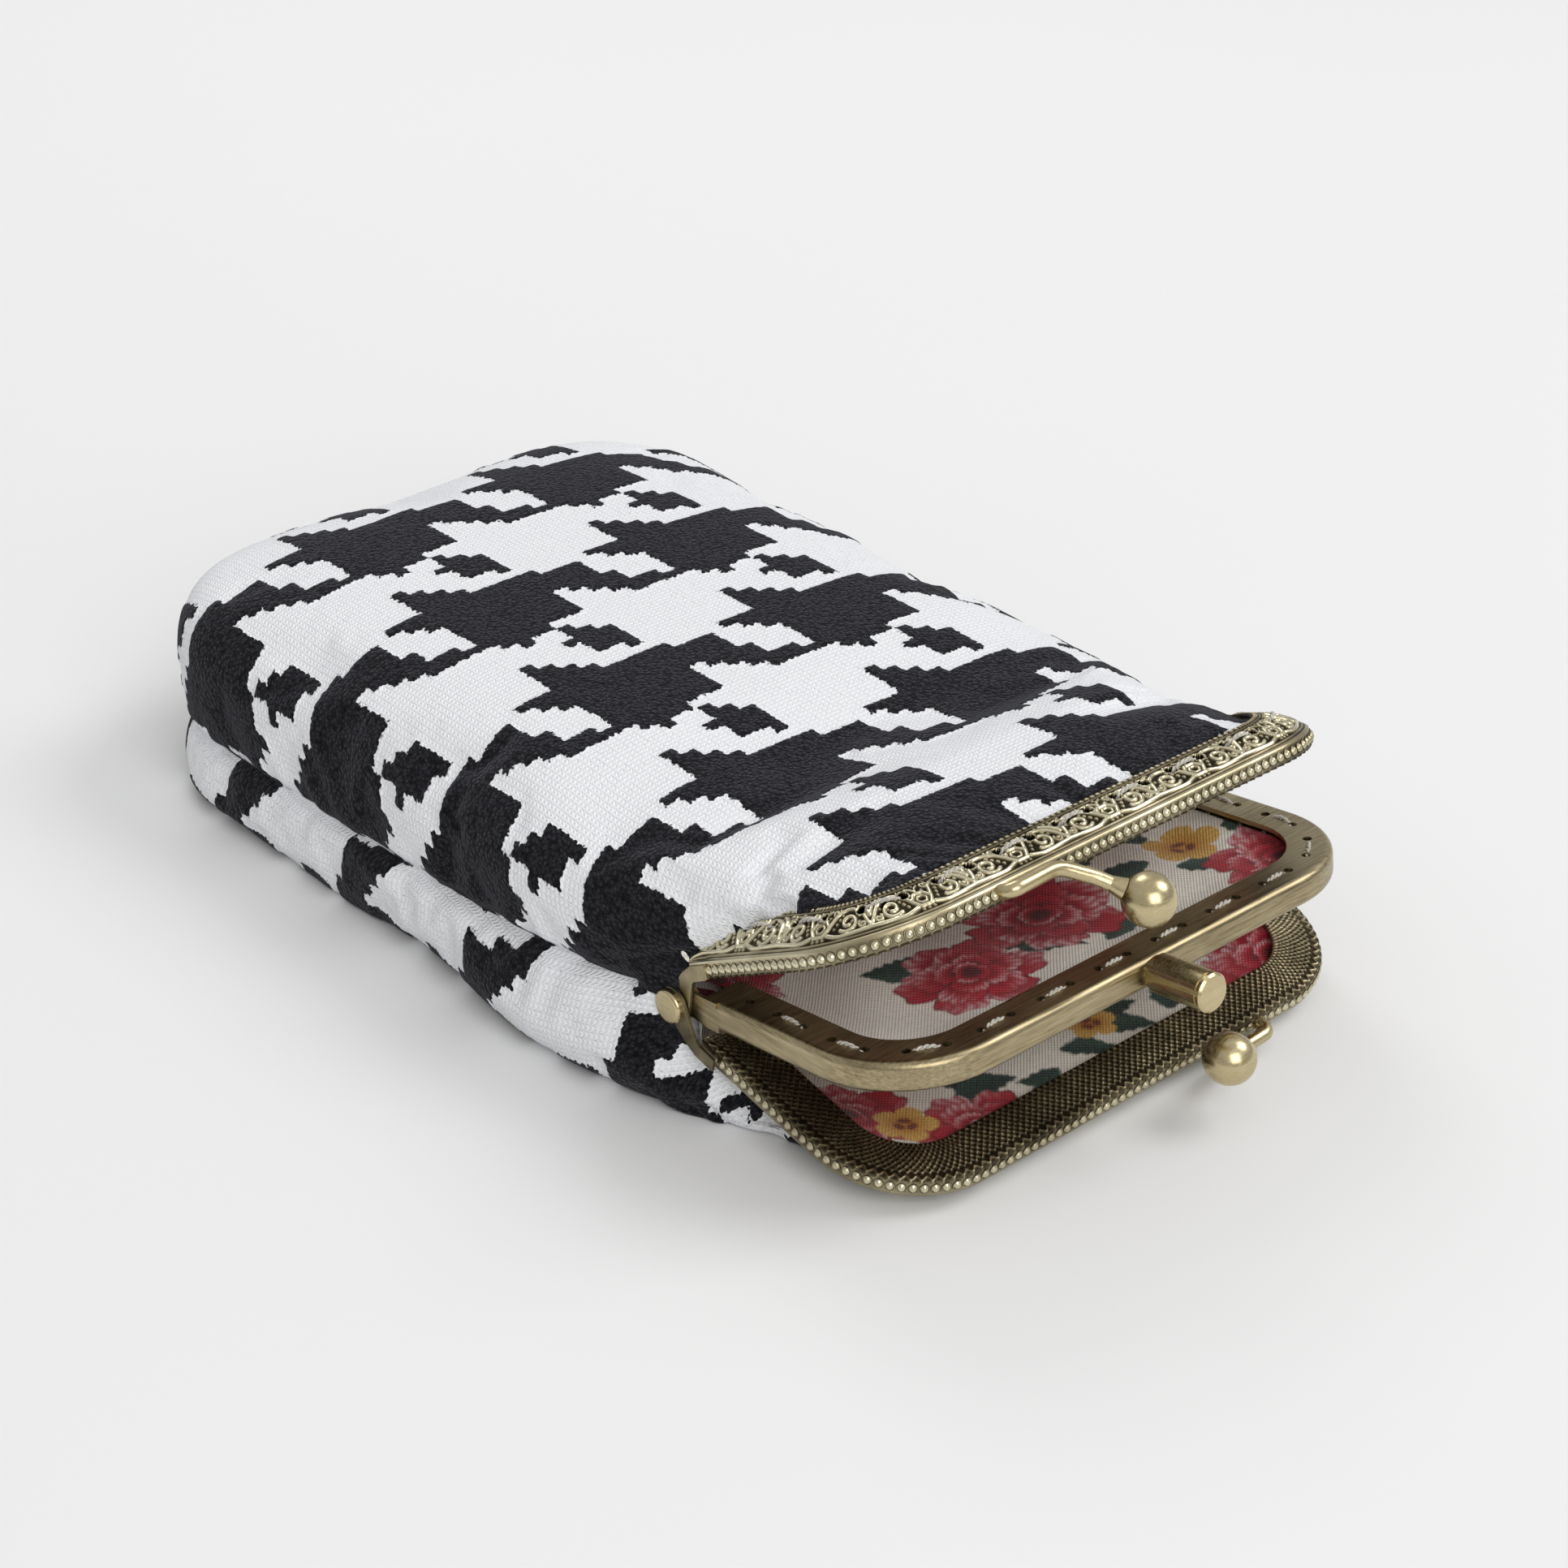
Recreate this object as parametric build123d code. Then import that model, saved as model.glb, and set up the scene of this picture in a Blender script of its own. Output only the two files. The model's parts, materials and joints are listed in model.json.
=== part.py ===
from build123d import *
import os
from math import atan2, cos, degrees, pi, sin, tan, radians

# A three-frame kiss-lock pouch lying on its lower side, half open.
# Three U-shaped brass frames turn on one hinge axis, which lies along X.
# The mouth faces -Y, the soft body reaches back to +Y, and +Z is up.
# Every part is drawn about the middle of the hinge axis and seated at the end,
# so that the whole stands on Z = 0 with its origin under its middle.
# A frame is drawn flat: "reach" is the distance from the hinge axis towards -Y,
# "inset" the distance in from the rim, and Z the height off the frame's plane.
# All sizes are in millimetres.

# Frames
FRAME_WIDTH = 105.0
FRAME_REACH = 50.3
MIDDLE_REACH = 49.7
CORNER_RADIUS = 18.0
LEG_START = 6.0
SHEET = 0.8
MIDDLE_HEIGHT = 5.0
MIDDLE_FLANGE = 7.3
MIDDLE_EDGE_RADIUS = 1.3
OUTER_FLANGE = 8.0
OUTER_SEAT = 3.4
OUTER_RIM = 5.6
OUTER_CREST = 10.2

# Rest tilts of the three frames above the horizontal, in degrees
UPPER_TILT = 29.0
MIDDLE_TILT = 8.4
LOWER_TILT = -11.0

# Hinge: tabs of the three frames stacked along X on one rivet at each side
TAB_RADIUS = 3.0
TAB_SHEET = 0.7
TAB_GAP = 0.1
TAB_STACK_START = 51.8
CRANK_LENGTH = 3.0
RIVET_RADIUS = 1.2
RIVET_CLEARANCE = 0.05
RIVET_HEAD_RADIUS = 2.9
RIVET_HEAD_HEIGHT = 1.2

# Sewing holes and running stitches
HOLE_RADIUS = 0.75
HOLE_PITCH = 6.15
HOLE_PHASE = 1.0
MIDDLE_HOLES = 26
OUTER_HOLES = 24
MIDDLE_HOLE_INSET = 3.8
OUTER_HOLE_INSET = 5.3
THREAD_WIDTH = 0.9
THREAD_HEIGHT = 0.6

# Kiss-lock clasp
POST_RADIUS = 3.15
POST_NECK_RADIUS = 2.6
POST_NECK_LENGTH = 0.6
POST_END_REACH = 61.3
POST_CHAMFER = 0.35
POST_GROOVE_REACH = 60.1
POST_GROOVE_SIZE = 0.3
BALL_RADIUS = 4.2
BALL_CENTRE = Vector(-7.6, -58.9, -4.0)
ARM_RADIUS = 1.2
ARM_ROOT = [Vector(-26.5, -FRAME_REACH, 4.7), Vector(-26.5, -52.7, 4.7)]
ARM_RUN = [Vector(-17.2, -53.0, 5.0), Vector(-12.6, -54.9, 1.6)]
ARM_BENDS = [1.6, 4.5, 5.5]
COLLAR_LENGTH = 2.2
COLLAR_RADIUS = 1.75

# Soft body
BODY_HALF_WIDTH = 61.0
BODY_BACK = 155.0
BODY_TOP = 18.6
BODY_BOTTOM = -18.1
BODY_CORNER_RADIUS = 22.0
TOP_EDGE_RADIUS = 13.0
BOTTOM_EDGE_RADIUS = 8.0
SEAM_HEIGHT = -3.0
UPPER_BODY_FRONT = 15.0
LOWER_BODY_FRONT = 4.0
DIVIDER_FRONT = 7.0
FABRIC = 1.5
PADDING = 2.0
LINING = 0.7

# Soft mouth: the cloth that spans each frame's opening
MOUTH_CLEARANCE = 0.15
UPPER_MOUTH_BACK = 9.0
LOWER_MOUTH_REACH = 38.0
LOWER_MOUTH_CORNER = 14.0
DIVIDER_HOLD = 1.3


def frame_plan(inset, reach, back=-LEG_START):
    """Plan of a frame's outline, drawn in by inset at its sides and front."""
    front = inset - reach
    plan = Pos(0, (front + back) / 2) * Rectangle(FRAME_WIDTH - 2 * inset, back - front)
    return fillet(plan.vertices().group_by(Axis.Y)[0], CORNER_RADIUS - inset)


def plate(plan, low, high):
    """A flat plate of the given plan between two heights."""
    return extrude(Pos(0, 0, low) * plan, amount=high - low)


def along_rim(distance, inset, reach):
    """Place on a line parallel to the rim, at a signed distance from its middle."""
    bar = FRAME_WIDTH / 2 - CORNER_RADIUS
    radius = CORNER_RADIUS - inset
    length = abs(distance)
    if length < bar:
        x, y, turn = length, inset - reach, 0.0
    elif length < bar + radius * pi / 2:
        turn = (length - bar) / radius
        x = bar + radius * sin(turn)
        y = CORNER_RADIUS - reach - radius * cos(turn)
    else:
        turn = pi / 2
        x = bar + radius
        y = CORNER_RADIUS - reach + length - bar - radius * pi / 2
    side = 1 if distance >= 0 else -1
    return Pos(side * x, y, 0) * Rot(0, 0, side * degrees(turn))


def hole_distances(count):
    """Distances of the sewing holes from the middle of the front bar."""
    first = HOLE_PHASE - (count - 1) / 2 * HOLE_PITCH
    return [first + number * HOLE_PITCH for number in range(count)]


def stitch_distances(count, first):
    """Middles of every second gap between holes, beginning with the given gap."""
    holes = hole_distances(count)
    return [(holes[gap] + holes[gap + 1]) / 2 for gap in range(first, count - 1, 2)]


def hinge_tabs(position, leg_low, leg_high):
    """The pair of pierced tabs that join a frame's legs to the hinge axis."""
    inner = TAB_STACK_START + position * (TAB_SHEET + TAB_GAP)
    outline = Polyline(
        (0.8, 2.85), (-LEG_START, leg_high), (-LEG_START - CRANK_LENGTH, leg_high),
        (-LEG_START - CRANK_LENGTH, leg_low), (-LEG_START, leg_low), (-2.4, -1.75), close=True,
    )
    strap = extrude(Plane.YZ * make_face(outline), amount=TAB_SHEET)
    disc = extrude(Plane.YZ * Circle(TAB_RADIUS), amount=TAB_SHEET)
    hole_radius = RIVET_RADIUS + RIVET_CLEARANCE
    hole = extrude(Plane.YZ * Circle(hole_radius), amount=TAB_SHEET)
    tab = Pos(inner, 0, 0) * (disc + strap - hole)
    crank_width = inner + TAB_SHEET - TAB_STACK_START
    crank = Pos(TAB_STACK_START + crank_width / 2, -LEG_START - CRANK_LENGTH / 2, (leg_low + leg_high) / 2)
    tab += crank * Box(crank_width, CRANK_LENGTH, leg_high - leg_low)
    return [tab, mirror(tab, Plane.YZ)]


def middle_channel():
    """The plain frame: a U channel open on its inner side, pierced for sewing."""
    half = MIDDLE_HEIGHT / 2
    block = plate(frame_plan(0, MIDDLE_REACH), -half, half)
    flat_edges = block.edges().group_by(Axis.Z)
    rim = [edge for edge in flat_edges[0] + flat_edges[-1] if edge.center().Y < -LEG_START - 1]
    block = fillet(rim, MIDDLE_EDGE_RADIUS)
    groove = plate(frame_plan(SHEET, MIDDLE_REACH, 0), SHEET - half, half - SHEET)
    mouth = plate(frame_plan(MIDDLE_FLANGE, MIDDLE_REACH, 0), -half, half)
    channel = block - groove - mouth
    drill = Cylinder(HOLE_RADIUS, MIDDLE_HEIGHT + 1)
    for distance in hole_distances(MIDDLE_HOLES):
        channel -= along_rim(distance, MIDDLE_HOLE_INSET, MIDDLE_REACH) * drill
    for tab in hinge_tabs(0, -half, half):
        channel += tab
    return channel


def slope_angle():
    """Slope of an outer frame's crested flange, in degrees."""
    return degrees(atan2(OUTER_CREST - OUTER_RIM, OUTER_FLANGE))


def slope_height(inset):
    """Height of the crested flange at an inset from the rim."""
    return OUTER_RIM + (OUTER_CREST - OUTER_RIM) * inset / OUTER_FLANGE


def outer_hood():
    """A solid block under the crested flange, sloping in from the rim on all sides."""
    rim_plan = Pos(0, 0, OUTER_RIM) * frame_plan(0, FRAME_REACH)
    crest_plan = frame_plan(OUTER_FLANGE, FRAME_REACH, -LEG_START - OUTER_FLANGE)
    return loft([rim_plan, Pos(0, 0, OUTER_CREST) * crest_plan], ruled=True)


def outer_channel(tab_position):
    """An ornate frame: a flat flange, a rim, and a flange that rises to a crest."""
    rim = plate(frame_plan(0, FRAME_REACH), OUTER_SEAT, OUTER_RIM)
    hood = outer_hood()
    inside = plate(frame_plan(SHEET, FRAME_REACH, 0), OUTER_SEAT + SHEET, OUTER_CREST)
    under_rim = plate(frame_plan(0, FRAME_REACH, 0), OUTER_SEAT, OUTER_RIM - SHEET)
    hollow = inside & (under_rim + Pos(0, 0, -SHEET / cos(radians(slope_angle()))) * hood)
    mouth = plate(frame_plan(OUTER_FLANGE - 0.1, FRAME_REACH, 0), OUTER_SEAT - 1, OUTER_CREST + 1)
    channel = rim + hood - hollow - mouth
    drill = Rot(slope_angle(), 0, 0) * Cylinder(HOLE_RADIUS, 3 * SHEET)
    for distance in hole_distances(OUTER_HOLES):
        place = along_rim(distance, OUTER_HOLE_INSET, FRAME_REACH)
        channel -= place * Pos(0, 0, slope_height(OUTER_HOLE_INSET)) * drill
    for tab in hinge_tabs(tab_position, OUTER_SEAT, OUTER_RIM):
        channel += tab
    return channel


def stitch_row(distances, inset, reach, height, tilt):
    """Running stitches lying on a flange, as one group of short bars."""
    bar = Box(HOLE_PITCH, THREAD_WIDTH, THREAD_HEIGHT)
    lift = Pos(0, 0, height) * Rot(tilt, 0, 0) * Pos(0, 0, THREAD_HEIGHT / 2)
    return [along_rim(distance, inset, reach) * lift * bar for distance in distances]


def clasp_post():
    """The post on the middle frame that the two balls snap past."""
    root = -MIDDLE_REACH
    stem = POST_END_REACH - MIDDLE_REACH - POST_NECK_LENGTH
    towards_front = Plane((0, root, 0), x_dir=(1, 0, 0), z_dir=(0, -1, 0))
    neck = extrude(towards_front * Circle(POST_NECK_RADIUS), amount=POST_NECK_LENGTH)
    barrel = extrude(towards_front * Circle(POST_RADIUS), amount=stem)
    barrel = chamfer(barrel.edges().filter_by(GeomType.CIRCLE), POST_CHAMFER)
    groove = extrude(towards_front * (Circle(POST_RADIUS + 1) - Circle(POST_RADIUS - 0.15)),
                     amount=POST_GROOVE_SIZE)
    post = neck + Pos(0, -POST_NECK_LENGTH, 0) * barrel
    return post - Pos(0, MIDDLE_REACH - POST_GROOVE_REACH, 0) * groove


def clasp_arm():
    """The bent arm that carries a ball, ending in a conical collar."""
    inward = (BALL_CENTRE - ARM_RUN[1]).normalized()
    collar_end = BALL_CENTRE - inward * (BALL_RADIUS - 0.25)
    collar_start = collar_end - inward * COLLAR_LENGTH
    route = FilletPolyline(*ARM_ROOT, *ARM_RUN, collar_end, radius=ARM_BENDS)
    start = Plane(route @ 0, z_dir=route % 0)
    arm = sweep(start * Circle(ARM_RADIUS), path=route)
    collar = Plane(collar_start, z_dir=inward) * Pos(0, 0, COLLAR_LENGTH / 2) * Cone(
        ARM_RADIUS, COLLAR_RADIUS, COLLAR_LENGTH)
    return arm + collar - Pos(*BALL_CENTRE) * Sphere(BALL_RADIUS)


def clasp_ball():
    """The ball at the end of an arm."""
    return Pos(*BALL_CENTRE) * Sphere(BALL_RADIUS)


def hinge_rivet():
    """The right-hand rivet, with a domed outer head and a flat inner one."""
    inner = TAB_STACK_START - TAB_GAP
    outer = TAB_STACK_START + 3 * TAB_SHEET + 2 * TAB_GAP
    shaft = Pos(inner, 0, 0) * extrude(Plane.YZ * Circle(RIVET_RADIUS), amount=outer - inner)
    head = extrude(Plane.YZ * Circle(RIVET_HEAD_RADIUS), amount=RIVET_HEAD_HEIGHT)
    domed = fillet(head.faces().sort_by(Axis.X)[-1].edges(), RIVET_HEAD_HEIGHT / 2)
    return shaft + Pos(outer, 0, 0) * domed + Pos(inner - RIVET_HEAD_HEIGHT, 0, 0) * head


def body_block(inset):
    """The pouch's rounded body, drawn in by inset, running forward past its mouth."""
    front = -2 * LEG_START
    length = BODY_BACK - inset - front
    plan = Pos(0, front + length / 2) * Rectangle(2 * (BODY_HALF_WIDTH - inset), length)
    plan = fillet(plan.vertices().group_by(Axis.Y)[-1], BODY_CORNER_RADIUS - inset)
    block = plate(plan, BODY_BOTTOM + inset, BODY_TOP - inset)
    block = fillet(block.faces().sort_by(Axis.Z)[-1].edges(), TOP_EDGE_RADIUS - inset)
    return fillet(block.faces().sort_by(Axis.Z)[0].edges(), BOTTOM_EDGE_RADIUS - inset)


def region(front, low, high):
    """A box that keeps what lies behind front and between two heights."""
    depth = BODY_BACK + 10 - front
    return Pos(0, front + depth / 2, (low + high) / 2) * Box(3 * BODY_HALF_WIDTH, depth, high - low)


def body_layer(outside, inside, upper):
    """One layer of the body's wall, either its upper or its lower half."""
    wall = body_block(outside) - body_block(inside)
    if upper:
        return wall & region(UPPER_BODY_FRONT, SEAM_HEIGHT, BODY_TOP + 1)
    return wall & region(LOWER_BODY_FRONT, BODY_BOTTOM - 1, SEAM_HEIGHT)


def lower_mouth(inset, thickness):
    """The flat cloth between the body's lower half and the lower frame."""
    width = FRAME_WIDTH - 2 * (OUTER_FLANGE + MOUTH_CLEARANCE)
    length = LOWER_MOUTH_REACH + LOWER_BODY_FRONT
    plan = Pos(0, LOWER_BODY_FRONT - length / 2) * Rectangle(width, length)
    plan = fillet(plan.vertices().group_by(Axis.Y)[0], LOWER_MOUTH_CORNER)
    return plate(plan, BODY_BOTTOM + inset, BODY_BOTTOM + inset + thickness)


def upper_mouth(low, high):
    """A layer of the cloth that spans the upper frame."""
    plan = frame_plan(OUTER_FLANGE + MOUTH_CLEARANCE, FRAME_REACH, -UPPER_MOUTH_BACK)
    return plate(plan, low, high)


def divider_mouth(low, high):
    """A layer of the divider, held inside the middle frame's channel."""
    return plate(frame_plan(DIVIDER_HOLD, MIDDLE_REACH, -LEG_START - 1), low, high)


def divider_layer(low, high):
    """A layer of the divider inside the body."""
    wall_stack = FABRIC + PADDING + LINING
    return body_block(wall_stack) & region(DIVIDER_FRONT, low, high)


def tilted(shape, angle):
    """Turn a frame's part, or each of a group of them, to its rest tilt."""
    turn = Rot(-angle, 0, 0)
    if isinstance(shape, list):
        return Compound([turn * piece for piece in shape])
    return turn * shape


def turned_over(shape):
    """The same part for the lower frame: turned half a turn about the Y axis."""
    if isinstance(shape, list):
        return [turned_over(piece) for piece in shape]
    return Rot(0, 180, 0) * shape


outer_stitches = stitch_row(stitch_distances(OUTER_HOLES, 0), OUTER_HOLE_INSET, FRAME_REACH,
                            slope_height(OUTER_HOLE_INSET), slope_angle())
middle_top = stitch_row(stitch_distances(MIDDLE_HOLES, 1), MIDDLE_HOLE_INSET, MIDDLE_REACH,
                        MIDDLE_HEIGHT / 2, 0)
middle_under = stitch_row(stitch_distances(MIDDLE_HOLES, 0), MIDDLE_HOLE_INSET, MIDDLE_REACH,
                          -MIDDLE_HEIGHT / 2 - THREAD_HEIGHT, 0)
wall_inside = FABRIC + PADDING
divider_middle = SEAM_HEIGHT + FABRIC

parts = {
    "upper_frame": tilted(outer_channel(1), UPPER_TILT),
    "middle_frame": tilted(middle_channel(), MIDDLE_TILT),
    "lower_frame": tilted(turned_over(outer_channel(2)), LOWER_TILT),
    "right_hinge_rivet": hinge_rivet(),
    "left_hinge_rivet": mirror(hinge_rivet(), Plane.YZ),
    "clasp_post": tilted(clasp_post(), MIDDLE_TILT),
    "upper_clasp_arm": tilted(clasp_arm(), UPPER_TILT),
    "upper_clasp_ball": tilted(clasp_ball(), UPPER_TILT),
    "lower_clasp_arm": tilted(turned_over(clasp_arm()), LOWER_TILT),
    "lower_clasp_ball": tilted(turned_over(clasp_ball()), LOWER_TILT),
    "upper_frame_stitches": tilted(outer_stitches, UPPER_TILT),
    "middle_frame_stitches": tilted(middle_top + middle_under, MIDDLE_TILT),
    "lower_frame_stitches": tilted(turned_over(outer_stitches), LOWER_TILT),
    "upper_outer_panel": body_layer(0, FABRIC, True),
    "upper_padding": body_layer(FABRIC, wall_inside, True),
    "upper_pocket_lining": body_layer(wall_inside, wall_inside + LINING, True),
    "lower_outer_panel": body_layer(0, FABRIC, False) + lower_mouth(0, FABRIC),
    "lower_padding": body_layer(FABRIC, wall_inside, False) + lower_mouth(FABRIC, PADDING),
    "lower_pocket_lining": body_layer(wall_inside, wall_inside + LINING, False)
    + lower_mouth(wall_inside, LINING),
    "upper_pocket_divider": divider_layer(divider_middle, divider_middle + LINING),
    "lower_pocket_divider": divider_layer(divider_middle - LINING, divider_middle),
    "upper_panel_mouth": tilted(upper_mouth(OUTER_CREST - 2 * FABRIC, OUTER_CREST - FABRIC), UPPER_TILT),
    "upper_padding_mouth": tilted(
        upper_mouth(OUTER_CREST - 2 * FABRIC - PADDING, OUTER_CREST - 2 * FABRIC), UPPER_TILT),
    "upper_lining_mouth": tilted(
        upper_mouth(OUTER_CREST - 2 * FABRIC - PADDING - LINING,
                    OUTER_CREST - 2 * FABRIC - PADDING), UPPER_TILT),
    "upper_divider_mouth": tilted(divider_mouth(0, LINING), MIDDLE_TILT),
    "lower_divider_mouth": tilted(divider_mouth(-LINING, 0), MIDDLE_TILT),
}

# Seat the whole pouch on Z = 0, with the origin under the middle of its box
whole = Compound(list(parts.values())).bounding_box()
seat = Pos(0, -(whole.min.Y + whole.max.Y) / 2, -whole.min.Z)
print("hinge axis at", seat.position)

os.makedirs("parts", exist_ok=True)
for name, shape in parts.items():
    export_step(seat * shape, os.path.join("parts", name + ".step"))
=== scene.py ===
import bpy
import json
import math
import numpy as np
from mathutils import Euler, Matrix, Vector


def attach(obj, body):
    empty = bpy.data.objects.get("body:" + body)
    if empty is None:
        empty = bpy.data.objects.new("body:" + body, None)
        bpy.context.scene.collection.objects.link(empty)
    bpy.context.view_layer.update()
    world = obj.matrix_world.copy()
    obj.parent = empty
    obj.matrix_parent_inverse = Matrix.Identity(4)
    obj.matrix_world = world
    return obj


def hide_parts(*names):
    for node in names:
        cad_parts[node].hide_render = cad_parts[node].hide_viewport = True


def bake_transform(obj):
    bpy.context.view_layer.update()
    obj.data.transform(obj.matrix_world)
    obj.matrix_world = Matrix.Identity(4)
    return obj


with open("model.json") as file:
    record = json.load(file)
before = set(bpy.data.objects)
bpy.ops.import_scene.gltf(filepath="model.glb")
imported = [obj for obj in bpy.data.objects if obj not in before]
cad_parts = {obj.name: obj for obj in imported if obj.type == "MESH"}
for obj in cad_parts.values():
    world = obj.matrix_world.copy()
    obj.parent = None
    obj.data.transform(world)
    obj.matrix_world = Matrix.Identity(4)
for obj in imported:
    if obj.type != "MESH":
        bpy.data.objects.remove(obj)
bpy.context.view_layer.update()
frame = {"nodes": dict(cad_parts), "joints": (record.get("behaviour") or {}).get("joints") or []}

# A three-frame kiss-lock pouch. Shapes are worked out in millimetres about the middle of
# the hinge axis (X along the hinge, the mouth towards -Y, Z up) and placed in metres.
# A frame is drawn flat, as x, y and o: y runs from the hinge axis towards the front as
# negative numbers, and o is the height off the frame's plane. Inset is the distance in
# from its rim.

MM = 0.001
HINGE = np.array(frame["joints"][0]["pos_m"])
FLOOR = -HINGE[2] / MM
rng = np.random.default_rng(7)

# Frame shape, as the CAD frames have it
HALF_WIDTH = 52.5
REACH = 50.3
MIDDLE_REACH = 49.7
CORNER = 18.0
LEG_START = 6.0
UPPER_TILT = 29.0
MIDDLE_TILT = 8.4
LOWER_TILT = -11.0
FLANGE = 8.0
SEAT = 3.4
RIM = 5.6
CREST = 10.2
SHEET = 0.8

# Sewing holes
HOLE_PITCH = 6.15
HOLE_PHASE = 1.0
MIDDLE_HOLES = 26
OUTER_HOLES = 24
MIDDLE_HOLE_INSET = 3.8
OUTER_HOLE_INSET = 5.3

# Cloth body
BACK = 153.5
BODY_WIDTH = 61.0
HINGE_WIDTH = 53.2
BACK_CORNER = 31.0
LEAN = 0.64
COLUMNS = 61
MOUTH_ROWS = 17
BODY_ROWS = 62
PUFF = 3.2
SETTLING_FRAMES = 20
MOUTH_SWELL = 4.0
SEAM_DEPTH = 2.0
TOP_ROUND_START = 134
BOTTOM_ROUND_START = 126
SECTION_POINTS = 401
EDGE_POINTS = 600


# ---------------------------------------------------------------- placing and meshes

def placed(points):
    """Millimetres about the hinge to metres in the frame."""
    return np.asarray(points, float) * MM + HINGE


def tilted(points, degrees):
    """Flat frame coordinates to the frame's rest tilt about the hinge."""
    points = np.asarray(points, float)
    c, s = math.cos(math.radians(degrees)), math.sin(math.radians(degrees))
    x, y, o = points[..., 0], points[..., 1], points[..., 2]
    return np.stack([x, y * c + o * s, -y * s + o * c], axis=-1)


def turned_over(points):
    """Half a turn about Y, as the lower frame is the upper one turned over."""
    return np.asarray(points, float) * np.array([-1.0, 1.0, -1.0])


def at_rest(flat, degrees, over):
    """Flat frame coordinates in metres at a frame's rest tilt, turned over for the lower frame."""
    return placed(tilted(turned_over(flat) if over else flat, degrees))


def new_object(name, vertices, faces, material=None, smooth=True):
    """A mesh object from vertices in metres, none of them under the floor."""
    mesh = bpy.data.meshes.new(name)
    vertices = np.array(vertices, float)
    vertices[:, 2] = np.maximum(vertices[:, 2], 0.0)
    mesh.from_pydata(vertices.tolist(), [], [tuple(face) for face in faces])
    if smooth:
        mesh.shade_smooth()
    mesh.update()
    made = bpy.data.objects.new(name, mesh)
    bpy.context.scene.collection.objects.link(made)
    if material is not None:
        mesh.materials.append(material)
    return made


def grid_faces(rows, columns, close_rows=False, close_columns=False):
    """Quads of a grid whose vertices are numbered row by row."""
    row = np.arange(rows if close_rows else rows - 1)
    column = np.arange(columns if close_columns else columns - 1)
    r, c = np.meshgrid(row, column, indexing="ij")
    r2, c2 = (r + 1) % rows, (c + 1) % columns
    quads = np.stack([r * columns + c, r * columns + c2, r2 * columns + c2, r2 * columns + c], -1)
    return quads.reshape(-1, 4)


def add_value(made, name, values):
    """A float at each vertex, for a material to read."""
    layer = made.data.attributes.new(name, "FLOAT", "POINT")
    layer.data.foreach_set("value", np.asarray(values, np.float32).ravel())


def add_vector(made, name, values):
    """A vector at each vertex, for a material to read."""
    layer = made.data.attributes.new(name, "FLOAT_VECTOR", "POINT")
    layer.data.foreach_set("vector", np.asarray(values, np.float32).ravel())


def add_colour(made, name, values):
    """A colour at each vertex, for a material to read."""
    layer = made.data.color_attributes.new(name, "FLOAT_COLOR", "POINT")
    rgba = np.ones((len(values), 4), np.float32)
    rgba[:, :3] = values
    layer.data.foreach_set("color", rgba.ravel())


def unit(vectors, least=1e-6):
    """Vectors brought to unit length, save those shorter than the least."""
    return vectors / np.maximum(np.linalg.norm(vectors, axis=-1, keepdims=True), least)


def lengths(points, axis):
    """Distance from the first point along a polyline, or along each line of a grid."""
    steps = np.linalg.norm(np.diff(points, axis=axis), axis=-1)
    return np.concatenate([np.zeros_like(steps.take([0], axis)), np.cumsum(steps, axis=axis)], axis)


def looked_up(table, row, column):
    """A table's values between its cells, wrapped round at its ends."""
    rows, columns = table.shape
    r, c = np.floor(row).astype(int), np.floor(column).astype(int)
    down, right = row - r, column - c

    def line(i):
        row = table[i % rows, c % columns]
        return row * (1 - right) + table[i % rows, (c + 1) % columns] * right

    return line(r) * (1 - down) + line(r + 1) * down


def surface_normals(grid):
    """Unit normals of a grid of points, rows by columns."""
    return unit(np.cross(np.gradient(grid, axis=1), np.gradient(grid, axis=0)), 1e-9)


def resampled(points, count):
    """A polyline's points spread evenly along its length."""
    length = lengths(points, 0)
    even = np.linspace(0, length[-1], count)
    return np.stack([np.interp(even, length, points[:, axis]) for axis in range(3)], -1)


def smoothstep(low, high, value):
    """0 to 1 from low to high, level at both ends; low may be the larger."""
    t = np.clip((value - low) / (high - low), 0, 1)
    return t * t * (3 - 2 * t)


# ---------------------------------------------------------------- materials

def material(name):
    """A new node material and its Principled shader."""
    made = bpy.data.materials.new(name)
    made.use_nodes = True
    return made, made.node_tree, made.node_tree.nodes["Principled BSDF"]


def node(tree, kind, inputs=None, **settings):
    """A shader node with its settings, and inputs set to values or linked from sockets."""
    made = tree.nodes.new(kind)
    for key, value in settings.items():
        setattr(made, key, value)
    for key, value in (inputs or {}).items():
        if isinstance(value, bpy.types.NodeSocket):
            tree.links.new(value, made.inputs[key])
        else:
            made.inputs[key].default_value = value
    return made


def ramp(tree, factor, *stops):
    """A colour ramp from (position, colour) stops."""
    made = tree.nodes.new("ShaderNodeValToRGB")
    tree.links.new(factor, made.inputs["Fac"])
    elements = made.color_ramp.elements
    while len(elements) < len(stops):
        elements.new(0.5)
    for element, (position, colour) in zip(elements, stops):
        element.position = position
        element.color = (*colour, 1)
    return made.outputs["Color"]


def math_node(tree, operation, first, second=0.0):
    """The result of a sum on values or sockets."""
    made = tree.nodes.new("ShaderNodeMath")
    made.operation = operation
    for socket, value in zip(made.inputs, (first, second)):
        if isinstance(value, bpy.types.NodeSocket):
            tree.links.new(value, socket)
        else:
            socket.default_value = value
    return made.outputs[0]


def plus(tree, first, second):
    return math_node(tree, "ADD", first, second)


def minus(tree, first, second):
    return math_node(tree, "SUBTRACT", first, second)


def times(tree, first, second):
    return math_node(tree, "MULTIPLY", first, second)


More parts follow.
